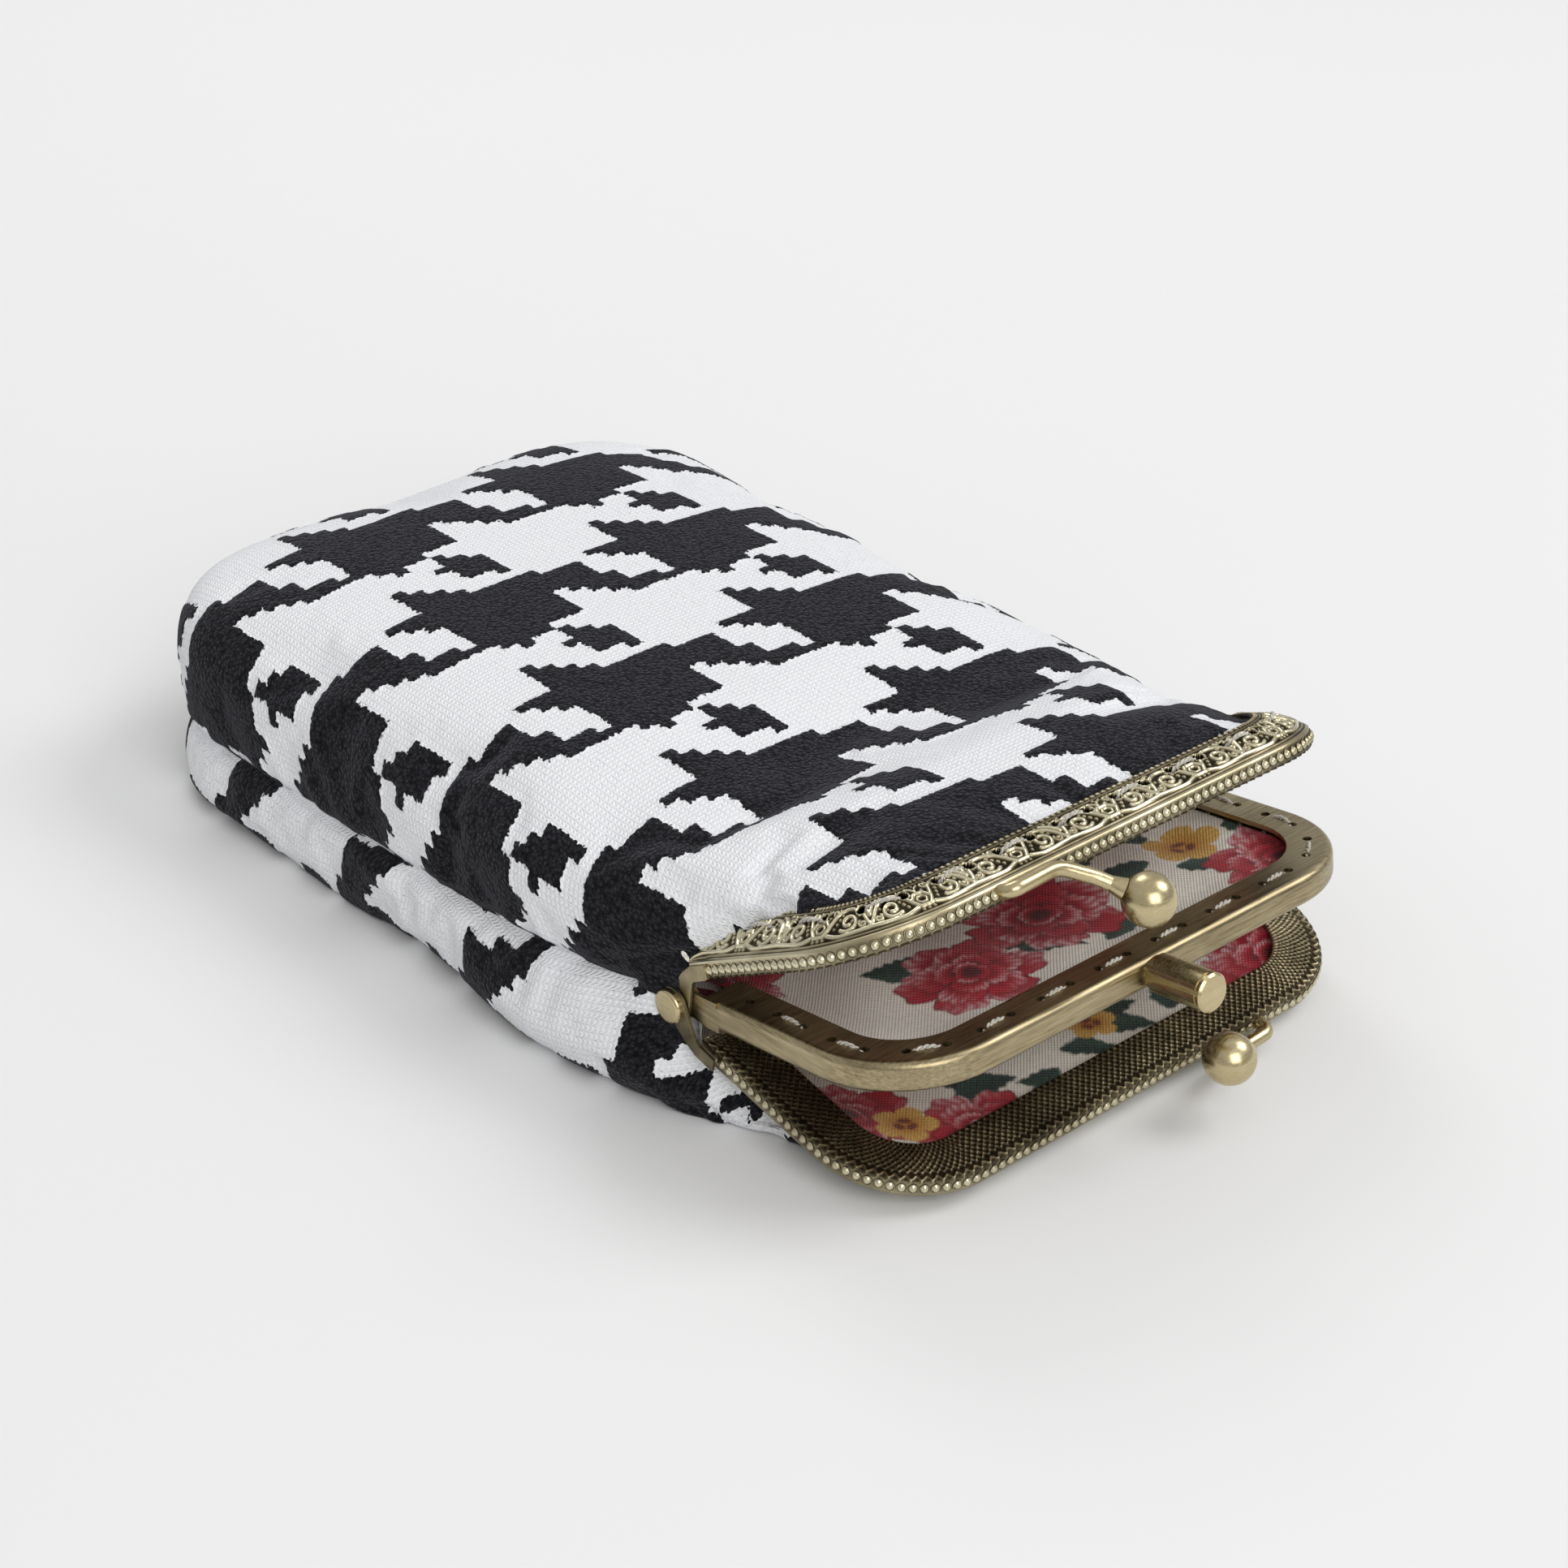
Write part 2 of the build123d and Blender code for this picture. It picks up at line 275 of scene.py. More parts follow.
def noise(tree, vector, scale, detail, **more):
    """A noise texture's value, for materials that vary from place to place."""
    inputs = {"Vector": vector, "Scale": scale, "Detail": detail, **more}
    return node(tree, "ShaderNodeTexNoise", inputs).outputs[0]


def attribute(tree, name, output="Fac"):
    return node(tree, "ShaderNodeAttribute", attribute_name=name).outputs[output]


def object_space(tree):
    return node(tree, "ShaderNodeTexCoord").outputs["Object"]


def set_inputs(shader, values):
    for name, value in values.items():
        shader.inputs[name].default_value = value


def mapped(tree, value, low, high, to_low=0.0, to_high=1.0):
    """A value carried from one range to another, held at its ends."""
    made = node(tree, "ShaderNodeMapRange", {0: value, 1: low, 2: high, 3: to_low, 4: to_high})
    return made.outputs[0]


def colour_mix(tree, factor, first, second, blend="MIX"):
    made = tree.nodes.new("ShaderNodeMix")
    made.data_type = "RGBA"
    made.blend_type = blend
    for index, value in ((0, factor), (6, first), (7, second)):
        if isinstance(value, bpy.types.NodeSocket):
            tree.links.new(value, made.inputs[index])
        elif index == 0:
            made.inputs[index].default_value = value
        else:
            made.inputs[index].default_value = (*value, 1)
    return made.outputs[2]


def bump(tree, shader, height, distance):
    made = node(tree, "ShaderNodeBump", {"Height": height, "Distance": distance})
    tree.links.new(made.outputs["Normal"], shader.inputs["Normal"])


def brushed_brass(name, dark, light, roughness, scratch):
    """Antique brass with fine brush lines that follow each flat, and a faint uneven patina."""
    made, tree, shader = material(name)
    where = object_space(tree)
    facing = node(tree, "ShaderNodeNewGeometry").outputs["True Normal"]
    sideways = node(tree, "ShaderNodeSeparateXYZ", {0: facing}).outputs[0]
    turned = mapped(tree, math_node(tree, "ABSOLUTE", sideways), 0.45, 0.85)
    lines = []
    for grain in ((0.05, 1.0, 1.0), (1.0, 0.05, 1.0)):
        stretched = node(tree, "ShaderNodeMapping", {"Vector": where, "Scale": grain}).outputs[0]
        lines.append(noise(tree, stretched, 2600.0, 4.0, Roughness=0.7))
    brushed = node(tree, "ShaderNodeMix", {0: turned, 2: lines[0], 3: lines[1]}).outputs[0]
    patina = noise(tree, where, 45.0, 4.0)
    mixed = plus(tree, times(tree, brushed, 0.6),
                      times(tree, patina, 0.4))
    tree.links.new(ramp(tree, mixed, (0.36, dark), (0.62, light)), shader.inputs["Base Color"])
    shader.inputs["Metallic"].default_value = 1.0
    polish = mapped(tree, brushed, 0.3, 0.7, roughness - 0.05, roughness + 0.10)
    tree.links.new(polish, shader.inputs["Roughness"])
    shader.inputs["Anisotropic"].default_value = 0.35
    bump(tree, shader, brushed, scratch)
    return made


def antique_relief():
    """Embossed silver-gold brass whose hollows hold a dark patina, and whose sewing holes are
    painted near black as painted shadow.
    """
    made, tree, shader = material("antique_relief")
    relief = attribute(tree, "relief")
    where = object_space(tree)
    blotch = noise(tree, where, 260.0, 4.0)
    cloud = noise(tree, where, 32.0, 2.0)
    uneven = plus(tree, times(tree, minus(tree, blotch, 0.5), 0.4),
                       times(tree, minus(tree, cloud, 0.52), 0.9))
    worn = plus(tree, relief, uneven)
    colour = ramp(tree, worn, (0.0, (0.022, 0.018, 0.011)), (0.34, (0.10, 0.082, 0.048)),
                  (0.62, (0.40, 0.34, 0.21)), (0.95, (0.76, 0.70, 0.50)))
    # Relief below -0.1 is found only inside the sewing holes: there the colour is painted near
    # black as painted shadow in the holes.
    hole_shadow = mapped(tree, relief, -0.5, -0.1)
    colour = colour_mix(tree, hole_shadow, (0.002, 0.002, 0.002), colour)
    tree.links.new(colour, shader.inputs["Base Color"])
    shader.inputs["Metallic"].default_value = 1.0
    tree.links.new(mapped(tree, worn, 0.0, 0.9, 0.55, 0.27), shader.inputs["Roughness"])
    fine = noise(tree, where, 1800.0, 3.0)
    bump(tree, shader, fine, 0.00003)
    return made


STITCH_WIDTH = 1.15
STITCH_LENGTH = 0.95


def knit_cloth():
    """Black raised terry and smooth white knit, parted at the motif's stepped edge."""
    made, tree, shader = material("knit_cloth")
    ink = attribute(tree, "ink")
    cloth = attribute(tree, "cloth", "Vector")
    tufts = node(tree, "ShaderNodeTexVoronoi", {"Vector": cloth, "Scale": 1.25, "Randomness": 0.9})
    fuzz = noise(tree, cloth, 2.6, 5.0, Roughness=0.7)
    scallop = times(tree, minus(tree, tufts.outputs["Distance"], 0.5), -0.95)
    edge = plus(tree, ink, plus(tree, scallop,
                     times(tree, minus(tree, fuzz, 0.5), 0.35)))
    is_black = mapped(tree, edge, -0.05, 0.08)

    # White side: columns of V stitches, darkened in the pinholes between them as painted shade
    parts = node(tree, "ShaderNodeSeparateXYZ", {0: cloth})
    column = math_node(tree, "PINGPONG", parts.outputs[0], STITCH_WIDTH / 2)
    slanted = plus(tree, parts.outputs[1], times(tree, column, 0.9))
    loop = math_node(tree, "PINGPONG", slanted, STITCH_LENGTH / 2)
    stitch = times(tree, times(tree, loop, 2.1),
                       mapped(tree, column, 0.0, 0.2))
    pinholes = noise(tree, cloth, 1.3, 2.0)
    # Grey painted into the low gaps between the stitches, where the noise allows, is painted shade
    # in the pinholes.
    pinhole_shade = mapped(tree, times(tree, mapped(tree, stitch, 0.0, 0.16, 1.0, 0.0), pinholes), 0.36, 0.56)
    white = colour_mix(tree, pinhole_shade, (0.86, 0.87, 0.89), (0.38, 0.39, 0.42))

    # Black side: lumps painted lighter at their middles and darker between them as painted shade,
    # with random fuzz and pale flecks of lint
    lint = noise(tree, cloth, 9.0, 3.0, Distortion=2.5)
    loops = node(tree, "ShaderNodeTexVoronoi",
                 {"Vector": cloth, "Scale": 1.5, "Randomness": 1.0}).outputs["Distance"]
    # Lighter at the middle of each Voronoi lump and darker at its edges: painted light and shade on
    # the lumps, plus fuzz noise for uneven tone.
    painted_lump_shade = plus(tree, times(tree, loops, -0.6), fuzz)
    black = ramp(tree, painted_lump_shade, (0.0, (0.003, 0.003, 0.004)), (0.25, (0.013, 0.013, 0.016)),
                 (0.55, (0.040, 0.040, 0.046)))
    black = colour_mix(tree, mapped(tree, lint, 0.64, 0.72), black, (0.17, 0.17, 0.18))
    tree.links.new(colour_mix(tree, is_black, white, black), shader.inputs["Base Color"])

    lump = plus(tree, times(tree, loops, -0.50),
                     times(tree, fuzz, 0.16))
    white_height = times(tree, stitch, 0.30)
    height = node(tree, "ShaderNodeMix", {0: is_black, 2: white_height, 3: lump})
    bump(tree, shader, height.outputs[0], 0.00055)
    set_inputs(shader, {"Roughness": 1.0, "Specular IOR Level": 0.05, "Sheen Weight": 0.14,
                        "Sheen Roughness": 0.4, "Sheen Tint": (0.9, 0.9, 1.0, 1)})
    return made


YARN_PITCH = 0.68


def printed_weave():
    """Plain weave with a painted flower print, and painted shade between the threads."""
    made, tree, shader = material("printed_weave")
    paint = node(tree, "ShaderNodeVertexColor", layer_name="print").outputs["Color"]
    cloth = attribute(tree, "cloth", "Vector")
    parts = node(tree, "ShaderNodeSeparateXYZ", {0: cloth})
    warp, weft = (math_node(tree, "SINE", times(tree, parts.outputs[way], 2 * math.pi / YARN_PITCH))
                  for way in (0, 1))
    weave = mapped(tree, times(tree, warp, weft), -1.0, 1.0)
    slub = noise(tree, cloth, 0.8, 3.0)
    # The yarn crowns are painted lighter and the gaps between them darker as painted shade; the
    # slub noise is uneven yarn tone.
    shade = mapped(tree, weave, 0.0, 1.0, 0.66, 1.08)
    shade = times(tree, shade, mapped(tree, slub, 0.3, 0.7, 0.93, 1.05))
    weave_shade_grey = node(tree, "ShaderNodeCombineColor", {0: shade, 1: shade, 2: shade}).outputs[0]
    tree.links.new(colour_mix(tree, 1.0, paint, weave_shade_grey, "MULTIPLY"), shader.inputs["Base Color"])
    bump(tree, shader, weave, 0.00012)
    set_inputs(shader, {"Roughness": 0.85, "Specular IOR Level": 0.2, "Sheen Weight": 0.15})
    return made


def twisted_thread():
    """Pale waxed thread with fine fibres."""
    made, tree, shader = material("twisted_thread")
    where = object_space(tree)
    fibres = noise(tree, where, 2600.0, 3.0)
    tree.links.new(ramp(tree, fibres, (0.3, (0.36, 0.33, 0.28)), (0.7, (0.68, 0.65, 0.58))),
                   shader.inputs["Base Color"])
    set_inputs(shader, {"Roughness": 0.75, "Sheen Weight": 0.2})
    return made


def fleece_felt():
    """Pale matted fleece."""
    made, tree, shader = material("fleece_felt")
    where = object_space(tree)
    fibres = noise(tree, where, 1400.0, 5.0)
    tree.links.new(ramp(tree, fibres, (0.3, (0.55, 0.54, 0.52)), (0.7, (0.85, 0.84, 0.82))),
                   shader.inputs["Base Color"])
    bump(tree, shader, fibres, 0.0003)
    shader.inputs["Roughness"].default_value = 0.95
    return made


RELIEF = antique_relief()
PLAIN = brushed_brass("plain_brass", (0.20, 0.158, 0.083), (0.52, 0.435, 0.27), 0.31, 0.000012)
BRIGHT = brushed_brass("bright_brass", (0.50, 0.415, 0.23), (0.64, 0.545, 0.33), 0.24, 0.000005)
KNIT = knit_cloth()
WEAVE = printed_weave()
THREAD = twisted_thread()
FLEECE = fleece_felt()


# ---------------------------------------------------------------- the line round a frame

def rim_line(distance, inset, reach=REACH, corner=CORNER):
    """Points and outward headings at signed distances along the rim, moved in by inset."""
    distance = np.asarray(distance, float)
    inset = np.asarray(inset, float)
    bar = HALF_WIDTH - corner
    length = np.abs(distance)
    side = np.where(distance >= 0, 1.0, -1.0)
    turn = np.clip((length - bar) / corner, 0, math.pi / 2)
    radius = corner - inset
    leg = np.maximum(length - bar - corner * math.pi / 2, 0)
    x = side * (np.minimum(length, bar) + radius * np.sin(turn))
    y = corner - reach - radius * np.cos(turn) + leg
    outward = np.stack([side * np.sin(turn), -np.cos(turn)], -1)
    return np.stack([x + 0 * y, y + 0 * x], -1), outward


def hole_line(count, inset, reach):
    """Hole points on the line at an inset, spaced by the sewing pitch along that line."""
    first = HOLE_PHASE - (count - 1) / 2 * HOLE_PITCH
    along = first + np.arange(count) * HOLE_PITCH
    bar = HALF_WIDTH - CORNER
    radius = CORNER - inset
    length = np.abs(along)
    arc = np.clip(length - bar, 0, radius * math.pi / 2)
    rest = np.maximum(length - bar - radius * math.pi / 2, 0)
    at_rim = np.minimum(length, bar) + arc * CORNER / radius + rest
    return np.sign(along) * at_rim


RIM_HALF = HALF_WIDTH - CORNER + CORNER * math.pi / 2 + REACH - CORNER - LEG_START


# ---------------------------------------------------------------- ornament of the outer frames

UNIT = 19.2
BAND = 9.3
CELL = 0.08
MESH_PITCH = 1.28
ZIGZAG_PITCH = 1.7
BEAD_PITCH = 1.72
BEAD_SIDES = 12


def spiral(centre, start, turns, outer, inner, count=60):
    """Points on a spiral that winds in from its outer radius."""
    t = np.linspace(0, 1, count)
    angle = start + turns * 2 * math.pi * t
    radius = outer + (inner - outer) * t ** 0.8
    return np.stack([centre[0] + radius * np.cos(angle), centre[1] + radius * np.sin(angle)], -1)


def mirrored(curve):
    """A curve's mirror image about the middle of the unit."""
    return curve * [-1, 1] + [UNIT, 0]


def ribbon(*corners):
    """A smooth curve through corners, as a dense polyline."""
    corners = np.array(corners, float)
    before, after = 2 * corners[0] - corners[1], 2 * corners[-1] - corners[-2]
    padded = np.concatenate([[before], corners, [after]])
    pieces = []
    for i in range(len(corners) - 1):
        p0, p1, p2, p3 = padded[i:i + 4]
        t = np.linspace(0, 1, 30)[:, None]
        pieces.append(0.5 * (2 * p1 + (p2 - p0) * t + (2 * p0 - 5 * p1 + 4 * p2 - p3) * t ** 2
                             + (3 * p1 - p0 - 3 * p2 + p3) * t ** 3))
    return np.concatenate(pieces)


def hexagon(centre, radius):
    """The outline of a six-sided cartouche."""
    angle = np.linspace(0, 2 * math.pi, 7)
    corners = np.array(centre) + radius * np.stack([np.cos(angle), 0.85 * np.sin(angle)], -1)
    t = np.linspace(0, 1, 14)[:-1, None]
    return np.concatenate([corners[i] * (1 - t) + corners[i + 1] * t for i in range(6)])


def whole_unit(curves, size):
    """Half a unit's curves with their mirror images, and the hexagons that end the unit."""
    mirrors = [mirrored(curve) for curve in curves]
    return curves + mirrors + [hexagon((0, 3.8), size), hexagon((UNIT, 3.8), size)]


def broad_curves():
    """The leading lines of one unit: two arched lobes between hexagons, with a volute in each."""
    lobe = ribbon((1.9, 3.9), (3.3, 6.0), (5.6, 6.9), (7.9, 5.9), (8.9, 3.9), (9.6, 2.1))
    foot = ribbon((1.7, 2.4), (4.0, 1.75), (7.0, 1.9), (9.6, 2.1))
    volute = spiral((5.6, 4.1), -2.4, 1.2, 1.9, 0.6)
    crest = ribbon((9.6, 4.4), (9.0, 6.0), (7.9, 7.1))
    return whole_unit([lobe, foot, volute, crest], 1.9)


def thin_curves():
    """The fine tendrils between the leading lines."""
    curl = spiral((2.6, 6.7), 0.6, -1.2, 1.0, 0.25, 40)
    hook = spiral((8.2, 3.1), 2.2, 1.1, 0.8, 0.2, 40)
    sprig = ribbon((0.0, 5.6), (0.5, 6.6), (1.5, 7.2))
    return whole_unit([curl, hook, sprig], 0.95)


def distance_map(points, xs, ws):
    """Distance from each cell of a periodic map to the nearest of the points."""
    best = np.full((len(xs), len(ws)), 99.0)
    for shift in (-UNIT, 0, UNIT):
        near = points[(points[:, 0] + shift > -3) & (points[:, 0] + shift < UNIT + 3)]
        for px, pw in near:
            low = int(max(0, (px + shift - 2) / CELL))
            high = int(max(0, (px + shift + 2) / CELL) + 1)
            if low >= len(xs) or high <= 0:
                continue
            gap = np.hypot(xs[low:high, None] - px - shift, ws[None, :] - pw)
            best[low:high] = np.minimum(best[low:high], gap)
    return best


def ornament_map():
    """Height of one unit of the embossed band, cell by cell."""
    xs = np.arange(0, UNIT, CELL)
    ws = np.arange(0, BAND + CELL, CELL)
    broad = distance_map(np.concatenate(broad_curves()), xs, ws)
    thin = distance_map(np.concatenate(thin_curves()), xs, ws)
    scroll = np.minimum(broad - 0.12, thin)
    height = np.maximum(0.48 * np.exp(-(broad / 0.35) ** 4), 0.38 * np.exp(-(thin / 0.24) ** 4))

    pebbles = []
    for row in range(8):
        for step in range(20):
            pebbles.append(((step + 0.5 * (row % 2)) * 0.96, 1.75 + row * 0.80))
    for px, pw in pebbles:
        column, line = int(px / CELL) % len(xs), int(pw / CELL)
        if pw > 7.5 or scroll[column, line] < 0.52:
            continue
        size = 0.34 + 0.10 * ((column * 7 + line * 3) % 5) / 5
        gap = np.hypot((xs[:, None] - px + UNIT / 2) % UNIT - UNIT / 2, ws[None, :] - pw)
        height = np.maximum(height, 0.32 * np.clip(1 - (gap / size) ** 2, 0, 1) ** 0.5)

    level = ws[None, :] + 0 * xs[:, None]
    border = (0.30 * np.exp(-((level - 1.15) / 0.20) ** 4)
              + 0.24 * np.exp(-((level - 7.95) / 0.16) ** 4))
    tiny = np.abs(((xs[:, None] / 1.2) % 1) - 0.5) * 1.2
    scallops = 0.34 * np.clip(1 - (np.hypot(tiny, (level - 8.65)) / 0.5) ** 2, 0, 1) ** 0.5
    height = np.where((level < 1.45) | (level > 7.75), np.maximum(border, scallops), height)
    height = np.where(level < 0.75, 0.30, height)
    return height


ORNAMENT = ornament_map()


def ornament_height(distance, level):
    """Height of the embossing at a distance along the rim and a level up the slope."""
    x = (np.asarray(distance) % UNIT) / CELL
    w = np.clip(np.asarray(level) / CELL, 0, ORNAMENT.shape[1] - 1.001)
    return looked_up(ORNAMENT.T, w, x)


def mesh_height(distance, level):
    """Height of the flat flange's diamond mesh and of its zigzag edge."""
    u = (distance + level) / MESH_PITCH
    v = (distance - level) / MESH_PITCH
    ridge = np.minimum(np.abs((u % 1) - 0.5), np.abs((v % 1) - 0.5)) * 2
    diamonds = 0.30 * smoothstep(0.5, 0.12, ridge)
    zigzag = np.abs(((distance / ZIGZAG_PITCH) % 1) - 0.5) * 2 + 0.35
    edge = 0.30 * np.exp(-((level - zigzag) / 0.24) ** 2)
    return np.where(level < 1.75, edge + 0.08, diamonds)


def frame_section():
    """The outer frame's section: inset, height, push direction and zone of each point."""
    slope = math.hypot(FLANGE, CREST - RIM)
    rise = (CREST - RIM) / slope
    run = FLANGE / slope
    points = []
    for t in np.linspace(FLANGE, 0.25, 34):
        points.append((t, SEAT, 0.0, -1.0, 1, t))
    points.append((0.0, SEAT + 0.3, -0.7, -0.5, 0, 0.0))
    points.append((0.0, RIM - 0.35, -0.7, 0.5, 0, 0.0))
    for w in np.linspace(0.1, slope, 54):
        bulge = 0.55 * math.sin(math.pi * w / slope)
        points.append((w * run - bulge * rise, RIM + w * rise + bulge * run, -rise, run, 2, w))
    points.append((FLANGE + 0.12, CREST - 0.35, 1.0, 0.0, 0, 0.0))
    for inset, height in ((FLANGE - 0.1, CREST - 0.85), (SHEET + 0.4, RIM - 0.2),
                          (SHEET, SEAT + SHEET + 0.3), (FLANGE - 0.1, SEAT + SHEET)):
        points.append((inset, height, 0.0, 0.0, 0, 0.0))
    return np.array(points)


def narrowed(distance, least):
    """How much of its full width a frame's flange keeps, tapering at the ends of the legs."""
    from_end = RIM_HALF - np.abs(distance)
    return np.sqrt(np.clip(1 - (1 - np.clip(from_end / FLANGE, 0, 1)) ** 2, least, 1))


def outer_frame_shape():
    """Vertices, faces and patina of an ornate frame, flat, in millimetres, with painted shadow in
    the sewing holes.
    """
    section = frame_section()
    distance = np.linspace(-RIM_HALF, RIM_HALF, int(2 * RIM_HALF / 0.19))
    narrow = narrowed(distance, 0.02)
    inset = section[None, :, 0] * narrow[:, None]
    lift = np.where(section[:, 1] > RIM, section[:, 1] - RIM, 0)[None, :] * narrow[:, None]
    height = np.minimum(section[:, 1], RIM)[None, :] + lift
    line, outward = rim_line(distance[:, None], inset)

    holes = hole_line(OUTER_HOLES, OUTER_HOLE_INSET, REACH)
    level = section[None, :, 5] + 0 * distance[:, None]
    along = distance[:, None] + 0 * level
    zone = section[None, :, 4] + 0 * along
    scrolls = ornament_height(along, level * (0.35 + 0.65 * narrow[:, None]))
    relief = np.where(zone == 2, scrolls, 0.0)
    relief = np.where(zone == 1, mesh_height(along, level), relief)
    hole_level = OUTER_HOLE_INSET * math.hypot(1, (CREST - RIM) / FLANGE)
    patina = np.where(zone == 2, relief / 0.42, np.where(zone == 1, 0.56 * relief / 0.30, 0.5))
    for hole in holes:
        gap = np.hypot(along - hole, level - hole_level)
        cut = (zone == 2) & (gap < 1.3)
        eyelet = np.where(gap < 0.98, -1.7 * smoothstep(0.98, 0.62, gap), 0.22)
        relief = np.where(cut, eyelet, relief)
        # Inside each sewing hole the value -0.6 paints the hole near black as painted shadow; the
        # ring round it gets a lighter 0.75.
        patina = np.where(cut, np.where(gap < 0.93, -0.6, 0.75), patina)
    push_in = section[None, :, 2] * relief
    push_up = section[None, :, 3] * relief
    flat = line - outward * push_in[..., None]
    points = np.concatenate([flat, (height + push_up)[..., None]], -1)
    rows, columns = points.shape[:2]
    faces = grid_faces(rows, columns, close_columns=True).tolist()
    faces.append(list(range(columns))[::-1])
    faces.append(list(range((rows - 1) * columns, rows * columns)))
    return points.reshape(-1, 3), faces, patina.ravel()


def bead_row():
    """Ringed beads round the rim, their domes facing outwards."""
    profile = [(0.86, -0.25), (0.86, 0.06), (0.77, 0.20), (0.68, 0.05), (0.62, 0.10),
               (0.48, 0.34), (0.25, 0.47)]
    vertices, faces, patina = [], [], []
    for number in range(int(2 * (RIM_HALF - 0.9) / BEAD_PITCH)):
        distance = -RIM_HALF + 1.2 + number * BEAD_PITCH
        line, outward = rim_line(np.array(distance), np.array(0.0))
        normal = np.array([outward[0], outward[1], 0.0])
        side = np.array([-outward[1], outward[0], 0.0])
        middle = np.array([line[0], line[1], (SEAT + RIM) / 2 + 0.05])
        base = len(vertices)
        for radius, rise in profile:
            for step in range(BEAD_SIDES):
                angle = 2 * math.pi * step / BEAD_SIDES
                vertices.append(middle + side * radius * math.cos(angle)
                                + np.array([0, 0, 1.12]) * radius * math.sin(angle) + normal * rise)
                patina.append(0.0 if rise < 0.1 else 0.85)
        vertices.append(middle + normal * 0.52)
        patina.append(0.95)
        top = len(vertices) - 1
        for ring in range(len(profile) - 1):
            for step in range(BEAD_SIDES):
                a = base + ring * BEAD_SIDES + step
                b = base + ring * BEAD_SIDES + (step + 1) % BEAD_SIDES
                faces.append((a, b, b + BEAD_SIDES, a + BEAD_SIDES))
        last = base + (len(profile) - 1) * BEAD_SIDES
        for step in range(BEAD_SIDES):
            faces.append((last + step, last + (step + 1) % BEAD_SIDES, top))
        faces.append([base + step for step in range(BEAD_SIDES)][::-1])
    return np.array(vertices), faces, patina


def build_outer_frames():
    """The two ornate frames with their bead rows."""
    channel, channel_faces, channel_patina_and_hole_shadow = outer_frame_shape()
    beads, bead_faces, bead_patina = bead_row()
    for name, degrees, over, body, cad in (
        ("upper", UPPER_TILT, False, "upper_leaf", "upper_frame"),
        ("lower", LOWER_TILT, True, "root", "lower_frame"),
    ):
        for part, points, faces, patina in (
            ("channel", channel, channel_faces, channel_patina_and_hole_shadow),
            ("beads", beads, bead_faces, bead_patina),
        ):
            made = new_object(f"{name}_frame_{part}", at_rest(points, degrees, over), faces, RELIEF)
            add_value(made, "relief", patina)
            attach(made, body)
            if part == "channel":
                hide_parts(cad)


build_outer_frames()


# ---------------------------------------------------------------- CAD pieces that stay

def finish_cad_metal():
    for name, finish in (
        ("middle_frame", PLAIN), ("clasp_post", BRIGHT), ("upper_clasp_arm", BRIGHT),
        ("upper_clasp_ball", BRIGHT), ("lower_clasp_arm", BRIGHT), ("lower_clasp_ball", BRIGHT),
        ("left_hinge_rivet", BRIGHT), ("right_hinge_rivet", BRIGHT),
    ):
        mesh = frame["nodes"][name].data
        mesh.materials.clear()
        mesh.materials.append(finish)


finish_cad_metal()


# ---------------------------------------------------------------- the cloth body

def body_half_width(y):
    width = BODY_WIDTH - (BODY_WIDTH - HINGE_WIDTH) * np.exp(-np.maximum(y, 0) / 14.0)
    width = width - 1.2 * smoothstep(75, 140, y)
    past = np.clip(y - (BACK - BACK_CORNER), 0, BACK_CORNER)
    return width - BACK_CORNER + np.sqrt(np.maximum(BACK_CORNER ** 2 - past ** 2, 0))


def seam_height(y):
    return 1.0 - 8.0 * np.clip(y, 0, BACK) / BACK


def body_top(y):
    rise = 16.6 + 3.6 * smoothstep(-5, 40, y)
    past = np.clip((y - TOP_ROUND_START) / (BACK - TOP_ROUND_START), 0, 1)
    seam = seam_height(y)
    return seam + (rise - seam) * np.maximum(1 - past ** 4.2, 0) ** (1 / 3.4)


def body_bottom(y):
    past = np.clip((y - BOTTOM_ROUND_START) / (BACK - BOTTOM_ROUND_START), 0, 1)
    seam = seam_height(y)
    return seam + (FLOOR - 0.4 - seam) * np.maximum(1 - past ** 4.0, 0) ** (1 / 4.0)


def cross_section(y, over, count):
    """Points across the body from seam to seam, at y on the seams; the top leans back
    near the hinge."""
    power, extreme = (8.0, body_bottom) if over else (4.6 + 1.6 * smoothstep(95, 140, y), body_top)
    angle = np.linspace(-math.pi / 2, math.pi / 2, SECTION_POINTS)
    across = np.sign(angle) * np.abs(np.sin(angle)) ** (2 / power)
    up = np.abs(np.cos(angle)) ** (2 / power)
    lean = 0.0 if over else LEAN * max(0.0, 1 - y / 70.0)
    ys = y + lean * up * (extreme(y) - seam_height(y))
    seam = seam_height(ys)
    points = np.stack([body_half_width(ys) * across, ys, seam + (extreme(ys) - seam) * up], -1)
    return resampled(points, count)


def frame_edge(over, inset=6.7, off=8.4):
    """The line where a panel is sewn into an outer frame, from its left end to its right end."""
    distance = np.linspace(-RIM_HALF, RIM_HALF, EDGE_POINTS)
    narrow = narrowed(distance, 0)
    line, _ = rim_line(distance, inset * narrow)
    height = 4.6 + (off - 4.6) * narrow
    flat = np.concatenate([line, height[:, None]], -1)
    if over:
        return tilted(flat * np.array([1, 1, -1]), LOWER_TILT)
    return tilted(flat, UPPER_TILT)


